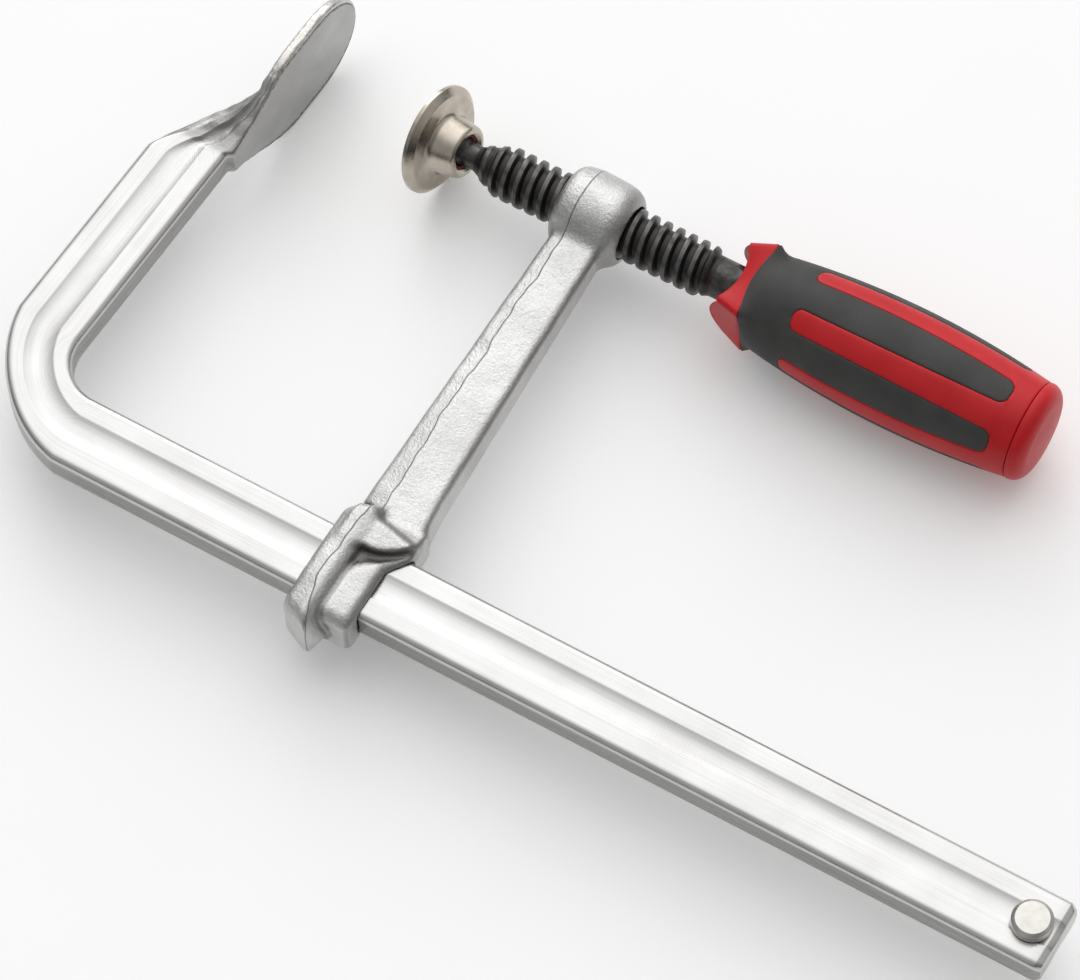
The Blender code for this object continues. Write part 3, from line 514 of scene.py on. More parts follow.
def crown_outline(y):
    """(half width, outward normal's y and z) of the jaw's outline above its widest place."""
    if y <= JAW_WIDEST_Y:
        return JAW_HALF_WIDTH, 0, 1
    up = clamp_share((y - JAW_WIDEST_Y) / (JAW_TOP_Y - JAW_WIDEST_Y))
    half = JAW_HALF_WIDTH * (1 - up ** CROWN_POWER) ** (1 / CROWN_POWER)
    normal = Vector((up ** (CROWN_POWER - 1) / (JAW_TOP_Y - JAW_WIDEST_Y),
                     (half / JAW_HALF_WIDTH) ** (CROWN_POWER - 1) / JAW_HALF_WIDTH)).normalized()
    return half, normal.x, normal.y


def eased_rise(y, start, end, ease, power):
    """From 0 to 1 and flat at the end. It starts gently where ease is over 1."""
    return 1 - (1 - clamp_share((y - start) / (end - start)) ** ease) ** power


def jaw_ring(y):
    """The jaw's outline at y, from bar to plate. The rim thins first, the ridge behind the face last."""
    grown = (y - JAW_SPREAD_Y) / (JAW_WIDEST_Y - JAW_SPREAD_Y)
    spread = smooth_share(grown * SPREAD_LEAD_SHARE)
    inner_rim = eased_rise(y, JAW_SPREAD_Y, JAW_RIM_Y, 1, RIM_POWER)
    outer_rim = eased_rise(y, JAW_THIN_Y, JAW_RIM_Y, THIN_EASE, RIM_POWER)
    ridge = eased_rise(y, JAW_THIN_Y, JAW_WIDEST_Y, THIN_EASE, RIDGE_POWER)
    bar_y = min(y, JAW_WIDEST_Y)
    back_x = arm_back_x(bar_y)
    heel = smooth_share((y - JAW_HEEL_Y + HEEL_STEP) / HEEL_STEP)
    inner_x = between(arm_inner_x(bar_y), face_x(bar_y), heel)
    middle_x = (back_x + inner_x) / 2
    bar = whole_outline(bar_quarter((inner_x - back_x) / 2, RAIL_THICK / 2, RAIL_CORNER, GROOVE_DEPTH))
    half, normal_y, normal_z = crown_outline(y)
    ring = []
    for across, up, share in bar:
        plate_x, inset, flat = plate_point(share, across > 0)
        side = 1 if up >= 0 else -1
        plate_y = y - inset * normal_y
        plate_z = side * max(half - inset * normal_z, 0) * (1 - flat)
        to_edge = RIDGE_HALF_SHARE - abs(plate_z) / JAW_HALF_WIDTH
        on_ridge = across > 0 and smooth_share(to_edge / RIDGE_EDGE_SHARE)
        rim = between(inner_rim, outer_rim, smooth_share(0.5 + across / GROOVE_WIDTH))
        thinning = between(rim, ridge, float(on_ridge))
        x = between(middle_x - across, plate_x + face_x(plate_y), thinning)
        ring.append(Vector((x, plate_y, between(up, plate_z, spread))))
    return ring


def jaw_heights():
    heights = [between(ARM_END_Y, JAW_SPREAD_Y, step / 10) for step in range(11)]
    heights += [between(JAW_SPREAD_Y, JAW_WIDEST_Y, (step / JAW_STEPS) ** JAW_STEP_POWER)
                for step in range(1, JAW_STEPS + 1)]
    for step in range(1, CROWN_STEPS + 1):
        angle = math.pi / 2 * step / CROWN_STEPS
        heights.append(between(JAW_WIDEST_Y, JAW_TOP_Y, math.sin(angle) ** (2 / CROWN_POWER)))
    return heights


def roughen_jaw(point, share, outer_side):
    """Move a point of the jaw as the forging and the rough grinding of its rim left it."""
    if point.y < JAW_SPREAD_Y:
        return point
    near_face = not outer_side and share > FACE_WAY
    twist = smooth_share((point.y - JAW_SPREAD_Y) / TWIST_START_LENGTH)
    twist *= smooth_share((JAW_RIM_Y + TWIST_END_LENGTH - point.y) / TWIST_END_LENGTH)
    rim = smooth_share((point.y - JAW_RIM_Y) / TWIST_START_LENGTH) * (0 < share < OUTER_EDGE_WAY)
    amount = (FORGED_ROUGHNESS * twist + RIM_ROUGHNESS * rim) * (0 if near_face else 1)
    lump = between(FORGED_LUMP, RIM_LUMP, rim)
    return point + noise.noise_vector(point / lump) * amount


def rail_rings():
    along = ACROSS.cross(UPRIGHT)
    end = Vector((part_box("rail_frame")[1].x, RAIL_Y, 0))
    rings = []
    for share in (0, 0.06, 0.94, 1.1, 3):
        left = max(1 - share, 0) * RAIL_END_CHAMFER
        rings.append(bar_ring(end - ACROSS * RAIL_END_CHAMFER * share, along,
                              RAIL_WIDTH / 2 - left * RAIL_END_SIDE_SHARE,
                              RAIL_THICK / 2 - left * RAIL_END_FACE_SHARE))
    return rings + bend_rings()


def build_rail():
    bm = bmesh.new()
    shares = [(across > 0, share) for across, _, share
              in whole_outline(bar_quarter(RAIL_WIDTH / 2, RAIL_THICK / 2, RAIL_CORNER, 0))]
    points = rail_rings()
    first_jaw = len(points)
    noise.seed_set(LUMP_SEED)
    for y in jaw_heights():
        points.append([roughen_jaw(point, share, outer)
                       for point, (outer, share) in zip(jaw_ring(y), shares)])
    lengths, rounds, forged, edge, flank = [
        bm.verts.layers.float.new(name) for name in ("along", "around", "forged", "edge", "flank")]
    rows = [[bm.verts.new(point) for point in ring] for ring in points]
    travelled = 0
    middle = sum(points[0], Vector()) / len(points[0])
    for ring, row in zip(points, rows):
        following = sum(ring, Vector()) / len(ring)
        travelled += (following - middle).length
        middle = following
        girth = 0
        for index, vert in enumerate(row):
            girth += (ring[index] - ring[index - 1]).length if index else 0
            vert[lengths] = travelled
            vert[rounds] = min(girth, 2 * (RAIL_WIDTH + RAIL_THICK) - girth)
            vert[forged] = smooth_share((ring[index].y - JAW_SPREAD_Y + FORGED_LEAD) / FORGED_LENGTH)
            outer, share = shares[index]
            on_edge = abs(share - (OUTER_EDGE_WAY if outer else INNER_EDGE_WAY)) < 0.01
            vert[edge] = on_edge and ring[index].y > JAW_HEEL_Y
            vert[flank] = share > FLANK_WAY
    for number, (low, high) in enumerate(zip(rows, rows[1:])):
        for index, face in enumerate(skin(bm, low, high)):
            face.material_index = jaw_zone(number + 1 - first_jaw, points[number + 1], index, shares)
    bm.faces.new(rows[0])
    return finish_piece("rail_steel_bar", bm, [rail_steel(), jaw_steel(), rim_steel()], 50)


def jaw_zone(number, ring, index, shares):
    """Material of a face: 0 rolled bar, 1 the jaw's smooth face, 2 its ground rim."""
    y = ring[index].y
    outer, share = shares[index]
    following = shares[(index + 1) % len(shares)][1]
    if number < 1 or y < JAW_HEEL_Y:
        return 0
    if not outer and min(share, following) > FACE_WAY:
        return 1
    return 2 if y > RIM_ZONE_Y and max(share, following) < RIM_WAY else 0


def build_rivet():
    seat = RAIL_THICK / 2 + TOUCH_GAP
    top = seat + RIVET_HEIGHT
    rim = top - RIVET_CHAMFER
    half = [(top + RIVET_DOME, 0, 0), (top, RIVET_HEAD - RIVET_CHAMFER * 1.4, 0.25 * MM),
            (rim, RIVET_HEAD - 0.1 * MM, 0.3 * MM), (seat + 0.1 * MM, RIVET_HEAD, 0.15 * MM),
            (seat, RIVET_SHANK, 0)]
    profile = rounded(half + [(-along, radius, rounding) for along, radius, rounding in reversed(half)])
    place = Matrix.Translation((RIVET_X, RAIL_Y, 0)) @ Matrix.Rotation(math.radians(-90), 4, "Y")
    return lathe("rivet_head", profile, place, [rivet_steel()])


# Screw
def thread_level(share):
    """1 on the crest and 0 in the root, with round edges, by share of the pitch."""
    return 1 - smooth_share((abs(share - 0.5) - CREST_SHARE) / (ROOT_SHARE - CREST_SHARE))


def thread_radii(x):
    """Root and crest at x: turned down to a cone in front, full from there on."""
    crest = min(THREAD_CREST, THREAD_LEAD_RADIUS + (x - THREAD_START) * THREAD_LEAD_SLOPE)
    return min(THREAD_CORE, crest - THREAD_LEAD_DEPTH), crest


def screw_front():
    """Points of the ball and the neck, in front of the thread."""
    neck_angle = math.asin(NECK_RADIUS / BALL_RADIUS)
    angles = [between(math.pi, neck_angle, step / 16) for step in range(17)]
    ball = [(BALL_X + BALL_RADIUS * math.cos(a), BALL_RADIUS * math.sin(a)) for a in angles]
    root = thread_radii(THREAD_START)[0]
    return ball + [tuple(point) for point in rounded(
        [(BALL_X + BALL_RADIUS * 0.8, NECK_RADIUS, 0), (NECK_END_X, NECK_RADIUS, NECK_ROUND),
         (THREAD_START, root, 0)])]


def build_screw():
    bm = bmesh.new()
    depth = bm.verts.layers.float.new("crest")

    def ring(x, radius):
        angles = [math.tau * segment / THREAD_SEGMENTS for segment in range(THREAD_SEGMENTS)]
        verts = [bm.verts.new(about_axis(x, radius, angle)) for angle in angles]
        for vert in verts:
            vert[depth] = PLAIN_LEVEL
        return verts

    front = [ring(x, radius) for x, radius in screw_front()]
    skin_all(bm, front)
    last = THREAD_START + (THREAD_TURNS - THREAD_RUN_OUT) * PITCH
    rows = []
    for number in range(THREAD_TURNS * THREAD_ROWS + 1):
        row = []
        for segment in range(THREAD_SEGMENTS):
            turn = segment / THREAD_SEGMENTS
            x = THREAD_START + PITCH * (number / THREAD_ROWS + turn)
            root, crest = thread_radii(x)
            level = thread_level(number / THREAD_ROWS % 1)
            level *= smooth_share((last - x) / (THREAD_FADE_SHARE * PITCH))
            vert = bm.verts.new(about_axis(x, between(root, crest, level), math.tau * turn))
            vert[depth] = level if x < last else PLAIN_LEVEL
            row.append(vert)
        rows.append(row)
    final = THREAD_SEGMENTS - 1
    skin_all(bm, rows, closed=False)
    for number in range(len(rows) - 1 - THREAD_ROWS):
        bm.faces.new((rows[number][final], rows[number + THREAD_ROWS][0],
                      rows[number + THREAD_ROWS + 1][0], rows[number + 1][final]))
    after = ring(THREAD_START + (THREAD_TURNS + 1) * PITCH, THREAD_CORE)
    skin(bm, front[-1], rows[0], closed=False)
    skin(bm, rows[-1], after, closed=False)
    start_edge = [row[0] for row in rows[:THREAD_ROWS + 1]]
    bm.faces.new([front[-1][final], front[-1][0]] + start_edge + [rows[0][final]])
    end_edge = [row[final] for row in rows[:-THREAD_ROWS - 2:-1]]
    bm.faces.new([rows[-1][0], after[0], after[final]] + end_edge)
    skin(bm, after, ring(SHANK_END_X, THREAD_CORE))
    return finish_piece("screw_thread", bm, [black_oxide()], 60)


def pad_place():
    side = Vector((0, math.cos(PAD_DROOP_SIDE), math.sin(PAD_DROOP_SIDE)))
    axis = ACROSS * math.cos(PAD_DROOP) + side * math.sin(PAD_DROOP)
    turn = ACROSS.rotation_difference(axis).to_matrix().to_4x4()
    return Matrix.Translation((BALL_X, 0, 0)) @ turn


def build_pad():
    mouth_angle = math.acos((PAD_MOUTH - PAD_MOUTH_CHAMFER) / PAD_CAVITY)
    cavity = []
    for step in range(19):
        angle = between(math.pi, mouth_angle, step / 18)
        cavity.append((PAD_CAVITY * math.cos(angle), PAD_CAVITY * math.sin(angle)))
    lip = cavity[-1][1] + PAD_MOUTH_CHAMFER * 0.8
    outside = rounded([(PAD_MOUTH - 0.15 * MM, lip, 0), (PAD_MOUTH, lip + 0.3 * MM, 0),
                       (PAD_MOUTH, PAD_MOUTH_RADIUS, 1.4 * MM),
                       (PAD_FACE + PAD_HUB_START, PAD_HUB_RADIUS, 2.4 * MM),
                       (PAD_FACE + PAD_FLANGE, PAD_BEVEL_RADIUS, 0.5 * MM),
                       (PAD_FACE + PAD_RIM, PAD_RADIUS, 0.3 * MM),
                       (PAD_FACE + 0.2 * MM, PAD_RADIUS, 0.15 * MM),
                       (PAD_FACE, PAD_RADIUS - 0.5 * MM, 0.2 * MM),
                       (PAD_FACE, 0, 0)])
    return lathe("pad_shell", cavity + outside, pad_place(), [nickel()], 128)


# Sliding arm, from a field that is negative inside
def smooth_ramp(distance, length):
    """Arrays from 0 to 1 within a length, flat at both ends."""
    share = np.clip(distance / length, 0, 1)
    return share * share * (3 - 2 * share)


def flash_x(y):
    """Where the parting line runs, with the wander that the dies left."""
    wander = sum(depth * MM * np.sin(y / (length * MM) + shift) for depth, length, shift in FLASH_WAVES)
    veer = np.clip((FLASH_VEER_Y - y) / FLASH_VEER_LENGTH, 0, 1) * (y > EYE_TOP_Y)
    at_eye = np.clip((EYE_TOP_Y - y) / FLASH_STEP, 0, 1)
    at_boss = np.clip((y - FLASH_CALM_Y) / FLASH_CALM_LENGTH, 0, 1)
    below = np.clip((FLASH_BOW_Y - y) / FLASH_BOW_LOW_LENGTH, 0, 1.4)
    above = np.clip((y - FLASH_BOW_Y) / FLASH_BOW_TOP_LENGTH, 0, 1)
    eye_line = EYE_PARTING_X + FLASH_BOW_LOW * below ** 2 + FLASH_BOW_TOP * above ** 2
    wander = (wander + FLASH_VEER * veer) * (1 - FLASH_CALM_SHARE * at_boss)
    return between(PARTING_X, eye_line, at_eye) + wander


def join(a, b, radius):
    """Union of two fields with a fillet."""
    near = np.maximum(radius - np.abs(a - b), 0) / radius
    return np.minimum(a, b) - near * near * radius / 4


def cut(a, b, radius):
    """Intersection of two fields with a round edge."""
    return -join(-a, -b, radius)


def bar_field(across, up, half_across, half_up, corner):
    """Distance to a rounded rectangle."""
    a = np.abs(across) - (half_across - corner)
    b = np.abs(up) - (half_up - corner)
    outside = np.hypot(np.maximum(a, 0), np.maximum(b, 0))
    return outside + np.minimum(np.maximum(a, b), 0) - corner


def boss_field(x, y, z):
    away = x - flash_x(y)
    radius = BOSS_RADIUS - np.where(away < 0, -BOSS_DRAFT_LEFT, BOSS_DRAFT_RIGHT) * away
    tube = np.hypot(y, z) - radius
    left = cut(tube, BOSS_LEFT_X - x, BOSS_ROUND_LEFT)
    return cut(left, x - BOSS_RIGHT_X, BOSS_ROUND_RIGHT)


def web_field(x, y, z):
    """The web, whose face is highest at the parting line and dips before the raised triangle."""
    share = np.clip((WEB_TOP_Y - y) / (WEB_TOP_Y - WEB_FOOT_Y), -0.1, 1.1)
    left = between(WEB_LEFT_TOP_X, WEB_LEFT_FOOT_X, share)
    flare = np.clip((WEB_FOOT_Y + WEB_FLARE_LENGTH - y) / WEB_FLARE_LENGTH, 0, 1.1) ** 2
    right = between(WEB_RIGHT_TOP_X, WEB_RIGHT_FOOT_X, share) + WEB_FLARE * flare
    dip = smooth_ramp(gusset_top(x) + WEB_DIP_LENGTH - y, WEB_DIP_LENGTH)
    half = between(WEB_HALF_TOP, WEB_HALF_FOOT, share) - WEB_DIP * dip
    away = x - flash_x(y)
    left_face = (z - half - WEB_DRAFT_LEFT * away) / math.hypot(1, WEB_DRAFT_LEFT)
    right_face = z - half - WEB_CREST + WEB_DRAFT_RIGHT * away
    face = np.maximum(left_face, right_face)
    body = cut(cut(face, left - x, WEB_ROUND_LEFT), x - right, WEB_ROUND_RIGHT)
    return np.maximum(body, np.maximum(y, WEB_FOOT_Y - WEB_ROOT - y))


def gusset_top(x):
    return GUSSET_TOP_Y - GUSSET_TOP_SLOPE * (x - EYE_PARTING_X)


def gusset_low(x):
    """The S-shaped lower edge of the raised triangle."""
    share = np.clip((x - GUSSET_LOW_X) / GUSSET_LENGTH, 0, 1.2)
    return GUSSET_LOW_Y + GUSSET_RISE * share ** GUSSET_RISE_POWER


def ring_field(x, y, z):
    """The eye's tall ring, which is widest at half depth and lowest right of the parting line."""
    away = np.minimum(x - flash_x(y), 0)
    rise = np.where(x < EYE_FALL_X, -RING_RISE_LEFT, RING_RISE_RIGHT) * (x - EYE_FALL_X)
    middle_y = (EYE_TOP_Y + EYE_BOTTOM_Y) / 2
    half_y = (EYE_TOP_Y - EYE_BOTTOM_Y) / 2 + RING_DROP
    ring = bar_field(y - middle_y, z, half_y - rise, EYE_HALF + RING_DRAFT * away, EYE_CORNER)
    ring = cut(ring, EYE_LEFT_X - x, RING_ROUND)
    slant = (x + RING_RIGHT_SLOPE * z - RING_RIGHT_X) / math.hypot(1, RING_RIGHT_SLOPE)
    return cut(ring, slant, RING_ROUND)


def collar_field(x, y, z):
    """The low collar right of the ring, with a pillow on each face."""
    middle_y = (EYE_TOP_Y + EYE_COLLAR_BOTTOM_Y) / 2
    half_y = (EYE_TOP_Y - EYE_COLLAR_BOTTOM_Y) / 2
    mouth = MOUTH_X + MOUTH_FLARE * smooth_ramp(y - MOUTH_FLARE_Y, MOUTH_FLARE_LENGTH)
    floor = bar_field(y - middle_y, z, half_y, EYE_VALLEY_HALF, EYE_FLOOR_CORNER)
    floor = cut(cut(floor, x - mouth, EYE_FLOOR_ROUND), EYE_PARTING_X - x, SMALL_FILLET)
    drawn_in = BULGE_DRAFT * (x - BULGE_LEFT_X)
    bulge = bar_field(y - middle_y, z, half_y - drawn_in, EYE_COLLAR_HALF - drawn_in, EYE_COLLAR_CORNER)
    outline = cut(BULGE_LEFT_X - x, (y - gusset_low(x) + BULGE_GAP) * BULGE_LEAN, BULGE_CORNER)
    bulge = cut(cut(bulge, outline, BULGE_ROUND), x - mouth, MOUTH_ROUND)
    return join(floor, bulge, SMALL_FILLET)


def gusset_field(x, y, z):
    """The raised triangle between the web and the mouth."""
    fall = GUSSET_DRAFT * (x - EYE_PARTING_X)
    top = cut(z - GUSSET_HALF + fall, y - gusset_top(x), GUSSET_TOP_ROUND)
    top = cut(top, (gusset_low(x) - y) * GUSSET_LEAN, GUSSET_ROUND)
    return cut(cut(top, x - EYE_RIGHT_X, GUSSET_ROUND), EYE_PARTING_X - GUSSET_ROOT - x, SMALL_FILLET)


def eye_field(x, y, z):
    eye = join(ring_field(x, y, z), collar_field(x, y, z), EYE_FILLET)
    return join(eye, gusset_field(x, y, z), GUSSET_FILLET)


def unevenness(x, y, z):
    """The low waves of a forged surface, between -1 and 1."""
    bent = x / (2.9 * MM) + 1.3 * np.sin(y / (4.1 * MM))
    return np.sin(bent) * np.sin(y / (3.3 * MM) + z / (2.4 * MM))


def arm_field(x, y, z):
    """The whole arm, the same on both faces, with the rail's hole and the screw's bore."""
    z = np.abs(z)
    body = join(web_field(x, y, z), boss_field(x, y, z), BOSS_FILLET)
    body = join(body, eye_field(x, y, z), EYE_FILLET) + UNEVEN_DEPTH * unevenness(x, y, z)
    hole = bar_field(y - RAIL_Y, z, RAIL_WIDTH / 2 + RAIL_CLEARANCE, RAIL_THICK / 2 + RAIL_CLEARANCE,
                     RAIL_CORNER)
    body = cut(body, -hole, HOLE_ROUND)
    lead_in = np.maximum(BOSS_LEFT_X + BORE_LEAD - x, x - BOSS_RIGHT_X + BORE_LEAD)
    bore = np.hypot(y, z) - (THREAD_CREST + NUT_CLEARANCE) - np.maximum(lead_in, 0) * BORE_LEAD_SLOPE
    return cut(body, -bore, BORE_ROUND)


def field_net(name, field, low, high, step):
    """Skin a field's zero surface: one point in each crossed cell, moved on to the surface."""
    axes = [np.arange(a, b + step, step) for a, b in zip(low, high)]
    values = field(*np.meshgrid(*axes, indexing="ij"))
    inside = values < 0
    corner = inside[:-1, :-1, :-1]
    crossed = np.zeros(corner.shape, bool)
    for place in itertools.product((slice(0, -1), slice(1, None)), repeat=3):
        crossed |= inside[place] != corner
    index = np.full(corner.shape, -1)
    cells = np.argwhere(crossed)
    index[tuple(cells.T)] = np.arange(len(cells))
    points = np.array([axis[0] for axis in axes]) + (cells + 0.5) * step
    points = onto_surface(field, points, step)
    quads = [edge_quads(inside, index, axis) for axis in range(3)]
    mesh = bpy.data.meshes.new(name)
    mesh.from_pydata(points.tolist(), [], np.concatenate(quads).tolist())
    mesh.update()
    return mesh, points


def onto_surface(field, points, step):
    """Walk the points along the field's slope to its zero surface, within their own cells."""
    start = points.copy()
    reach = step * 0.2
    for _ in range(6):
        value = field(*points.T)
        slope = slope_of(field, points, reach)
        squared = np.maximum((slope ** 2).sum(1), 0.05)
        points = points - slope * (value / squared)[:, None]
        points = start + np.clip(points - start, -step * 0.75, step * 0.75)
    return points


def edge_quads(inside, index, axis):
    """A face across each grid edge along one axis that crosses the surface."""
    others = [a for a in range(3) if a != axis]
    low = [slice(1, -1)] * 3
    low[axis] = slice(0, -1)
    high = list(low)
    high[axis] = slice(1, None)
    crossing = inside[tuple(low)] != inside[tuple(high)]
    at = np.argwhere(crossing)
    at[:, others] += 1
    leaving = inside[tuple(at.T)]
    corners = []
    for a, b in ((0, 0), (1, 0), (1, 1), (0, 1)):
        cell = at.copy()
        cell[:, others[0]] -= a
        cell[:, others[1]] -= b
        corners.append(index[tuple(cell.T)])
    quads = np.stack(corners, 1)
    flip = leaving if axis == 1 else ~leaving
    quads[flip] = quads[flip][:, ::-1]
    return quads


def slope_of(field, points, reach):
    """The field's gradient at each point, by central differences."""
    slope = np.empty_like(points)
    for axis in range(3):
        shift = np.zeros(3)
        shift[axis] = reach
        slope[:, axis] = (field(*(points + shift).T) - field(*(points - shift).T)) / (2 * reach)
    return slope


def hollow_shade_amount(field, points):
    """0 on open surface, towards 1 in a narrow valley: how soon the field meets metal again. It sets how
    much painted shade darkens the forging's hollows.
    """
    normal = slope_of(field, points, 0.1 * MM)
    normal /= np.maximum(np.linalg.norm(normal, axis=1), 0.1)[:, None]
    hollow = np.zeros(len(points))
    for distance in HOLLOW_REACHES:
        hollow += np.clip(1 - field(*(points + normal * distance).T) / distance, 0, 1)
    return hollow / len(HOLLOW_REACHES)


def build_arm():
    side = BOSS_RADIUS + NET_MARGIN
    low = Vector((EYE_LEFT_X - NET_MARGIN, EYE_BOTTOM_Y - NET_MARGIN, -side))
    high = Vector((EYE_RIGHT_X + 3 * NET_MARGIN, side, side))
    mesh, points = field_net("arm_forging", arm_field, low, high, NET_STEP)
    # the hollow attribute sets the painted shade in the forging's hollows
    for name, values in (("parting", points[:, 0] - flash_x(points[:, 1])),
                         ("hollow", hollow_shade_amount(arm_field, points))):
        layer = mesh.attributes.new(name, "FLOAT", "POINT")
        layer.data.foreach_set("value", values.astype(np.float32))
    return finish_mesh("arm_forging", mesh, [forged_steel()], 60)


# Handle
def barrel_radius(x):
    """Outer radius of the handle, from the flare behind the collar to the cap."""
    if x < WAIST_X:
        return WAIST_RADIUS + (WAIST_X - x) ** 2 / FLARE_ARC / 2
    away = (x - HANDLE_WIDEST_X) / (HANDLE_WIDEST_X - WAIST_X)
    arch = HANDLE_RADIUS - (HANDLE_RADIUS - WAIST_RADIUS) * away ** 2
    return arch if x < HANDLE_WIDEST_X else max(arch, HANDLE_REAR_RADIUS)


def arc_drop(radius, distance):
    """How far an arc lies below its top, at a distance from its upright end."""
    left = radius - min(distance, radius)
    return radius - math.sqrt(max(radius ** 2 - left ** 2, 0))


def strip_half(x):
    """Half the width of a red strip at x, round at its tip and flaring into the rear ring."""
    if x <= STRIP_START_X:
        return 0
    share = (x - STRIP_START_X) / (GRIP_END_X - STRIP_START_X)
    half = between(STRIP_HALF_FRONT, STRIP_HALF_REAR, share) - arc_drop(STRIP_TIP_ROUND, x - STRIP_START_X)
    return half + arc_drop(INLAY_END_ROUND, GRIP_END_X - x)


def handle_stations():
    """Places along the handle, close together where the strips and inlays are round."""
    start = COLLAR_BACK_X + TOUCH_GAP
    front = [between(start, GRIP_SQUARE_END_X, step / 10) for step in range(10)]
    front += [between(GRIP_SQUARE_END_X, STRIP_START_X, step / 4) for step in range(4)]
    turns = [math.pi / 2 * step / 8 for step in range(9)]
    tip = [STRIP_START_X + STRIP_TIP_ROUND * (1 - math.cos(turn)) for turn in turns]
    flare_start = GRIP_END_X - INLAY_END_ROUND
    middle = [between(tip[-1], flare_start, step / 22) for step in range(1, 22)]
    flare = [flare_start + INLAY_END_ROUND * math.sin(turn) for turn in turns]
    return front, tip + middle + flare


def outline_distance(x, side, outline):
    """Distance from a place on the unrolled barrel to a strip's outline."""
    best = 1
    for (x0, s0), (x1, s1) in zip(outline, outline[1:]):
        run_x, run_s = x1 - x0, s1 - s0
        length = run_x ** 2 + run_s ** 2
        share = clamp_share(((x - x0) * run_x + (side - s0) * run_s) / length) if length else 0
        best = min(best, math.hypot(x - x0 - run_x * share, side - s0 - run_s * share))
    return best


def rolled_edge(distance):
    """How far the surface has dropped at a distance from its edge."""
    return arc_drop(EDGE_ROUND, distance)


def on_barrel(x, side, turn, drop):
    radius = barrel_radius(x)
    return about_axis(x, radius - drop, side / radius + turn)


def spaced(start, end, steps):
    """Places from start to end with extra ones close to both edges."""
    gap = min(EDGE_REACH, abs(end - start) / 4) * (1 if end >= start else -1)
    near = [start + gap * share for share in EDGE_PLACES]
    far = [end - gap * share for share in reversed(EDGE_PLACES)]
    inner = [between(start + gap, end - gap, step / steps) for step in range(1, steps)]
    return near + inner + far


def strip_edge(places, side):
    """The edge line of a strip on the unrolled barrel, from its tip to the rear ring."""
    return [(x, side * strip_half(x)) for x in places]


def add_skirt(bm, depth):
    """Turn the open edges of a surface inwards, so that a seam has depth."""
    rim = [edge for edge in bm.edges if edge.is_boundary]
    grown = bmesh.ops.extrude_edge_only(bm, edges=rim)
    for item in grown["geom"]:
        if isinstance(item, bmesh.types.BMVert):
            radial = Vector((0, item.co.y, item.co.z))
            item.co -= radial.normalized() * depth


def turn_of(number):
    return math.tau * number / STRIP_COUNT


def square_reach(angle, flat, corner):
    """(radius, swell) of a rounded square at an angle: swell is 1 mid-side on two opposite sides."""
    from_side = angle - COLLAR_ANGLE + math.pi / 4
    side = round(from_side / (math.pi / 2))
    within = abs(from_side - side * math.pi / 2)
    side_half = flat - corner
    radius = flat / math.cos(within)
    if math.tan(within) > side_half / flat:
        middle = math.hypot(side_half, side_half)
        off = math.pi / 4 - within
        radius = middle * math.cos(off) + math.sqrt(corner ** 2 - (middle * math.sin(off)) ** 2)
    swell = (1 - (within / (math.pi / 4)) ** 2) * (side % 2)
    return radius, swell


def on_grip(x, side, turn, drop):
    """A point of the sleeve, whose front end goes over into the collar's square."""
    if x >= GRIP_SQUARE_END_X:
        return on_barrel(x, side, turn, drop)
    start = COLLAR_BACK_X + TOUCH_GAP
    squareness = clamp_share((GRIP_SQUARE_END_X - x) / (GRIP_SQUARE_END_X - start))
    angle = side / barrel_radius(x) + turn
    taper = (COLLAR_FLAT_BACK - COLLAR_FLAT_FRONT) / (COLLAR_BACK_X - COLLAR_FRONT_X)
    swell = square_reach(angle, COLLAR_FLAT_BACK, COLLAR_CORNER)[1]
    x -= GRIP_TONGUE * swell * squareness ** 2
    flat = COLLAR_FLAT_BACK + GRIP_LIP - max(COLLAR_BACK_X - x, 0) * taper
    square = square_reach(angle, flat, COLLAR_CORNER)[0]
    round_reach = barrel_radius(x) if x > WAIST_X else WAIST_RADIUS
    return about_axis(x, between(round_reach, square, squareness ** GRIP_SQUARE_POWER) - drop, angle)


def build_grip():
    """The grey sleeve: six panels between the red strips, one surface in front of them."""
    front, rear = handle_stations()
    edge = strip_edge(rear, 1)
    bm = bmesh.new()
    for number in range(STRIP_COUNT):
        turn = turn_of(number)
        rows = []
        for x in front + rear:
            pitch = turn_of(1) * barrel_radius(x)
            half = strip_half(x)
            edges = [edge, [(a, pitch - b) for a, b in edge]]
            row = []
            for side in spaced(half, pitch - half, 16):
                distance = min(outline_distance(x, side, line) for line in edges)
                distance = min(distance, GRIP_END_X - x, (x - front[0]) / 2 + EDGE_ROUND / 3)
                row.append(bm.verts.new(on_grip(x, side, turn, rolled_edge(distance))))
            rows.append(row)
        skin_all(bm, rows, closed=False)
    bmesh.ops.remove_doubles(bm, verts=bm.verts, dist=WELD_DISTANCE)
    add_skirt(bm, SEAM_DEPTH)
    return finish_piece("grip_sleeve", bm, [grey_rubber()])


def add_strips(bm):
    """Six red strips that run into a ring at the rear."""
    _, rear = handle_stations()
    edges = [strip_edge(rear, 1), strip_edge(rear, -1)]
    ring_stations = spaced(GRIP_END_X, CAP_SEAM_X, 4)
    for number in range(STRIP_COUNT):
        turn = turn_of(number)
        rows = []
        for x in rear:
            half = strip_half(x)
            row = []
            for side in spaced(-half, half, 6):
                distance = min(outline_distance(x, side, line) for line in edges)
                row.append(bm.verts.new(on_barrel(x, side, turn, rolled_edge(distance))))
            rows.append(row)
        skin_all(bm, rows, closed=False)
        add_ring_sector(bm, turn, ring_stations, strip_half(rear[-1]))


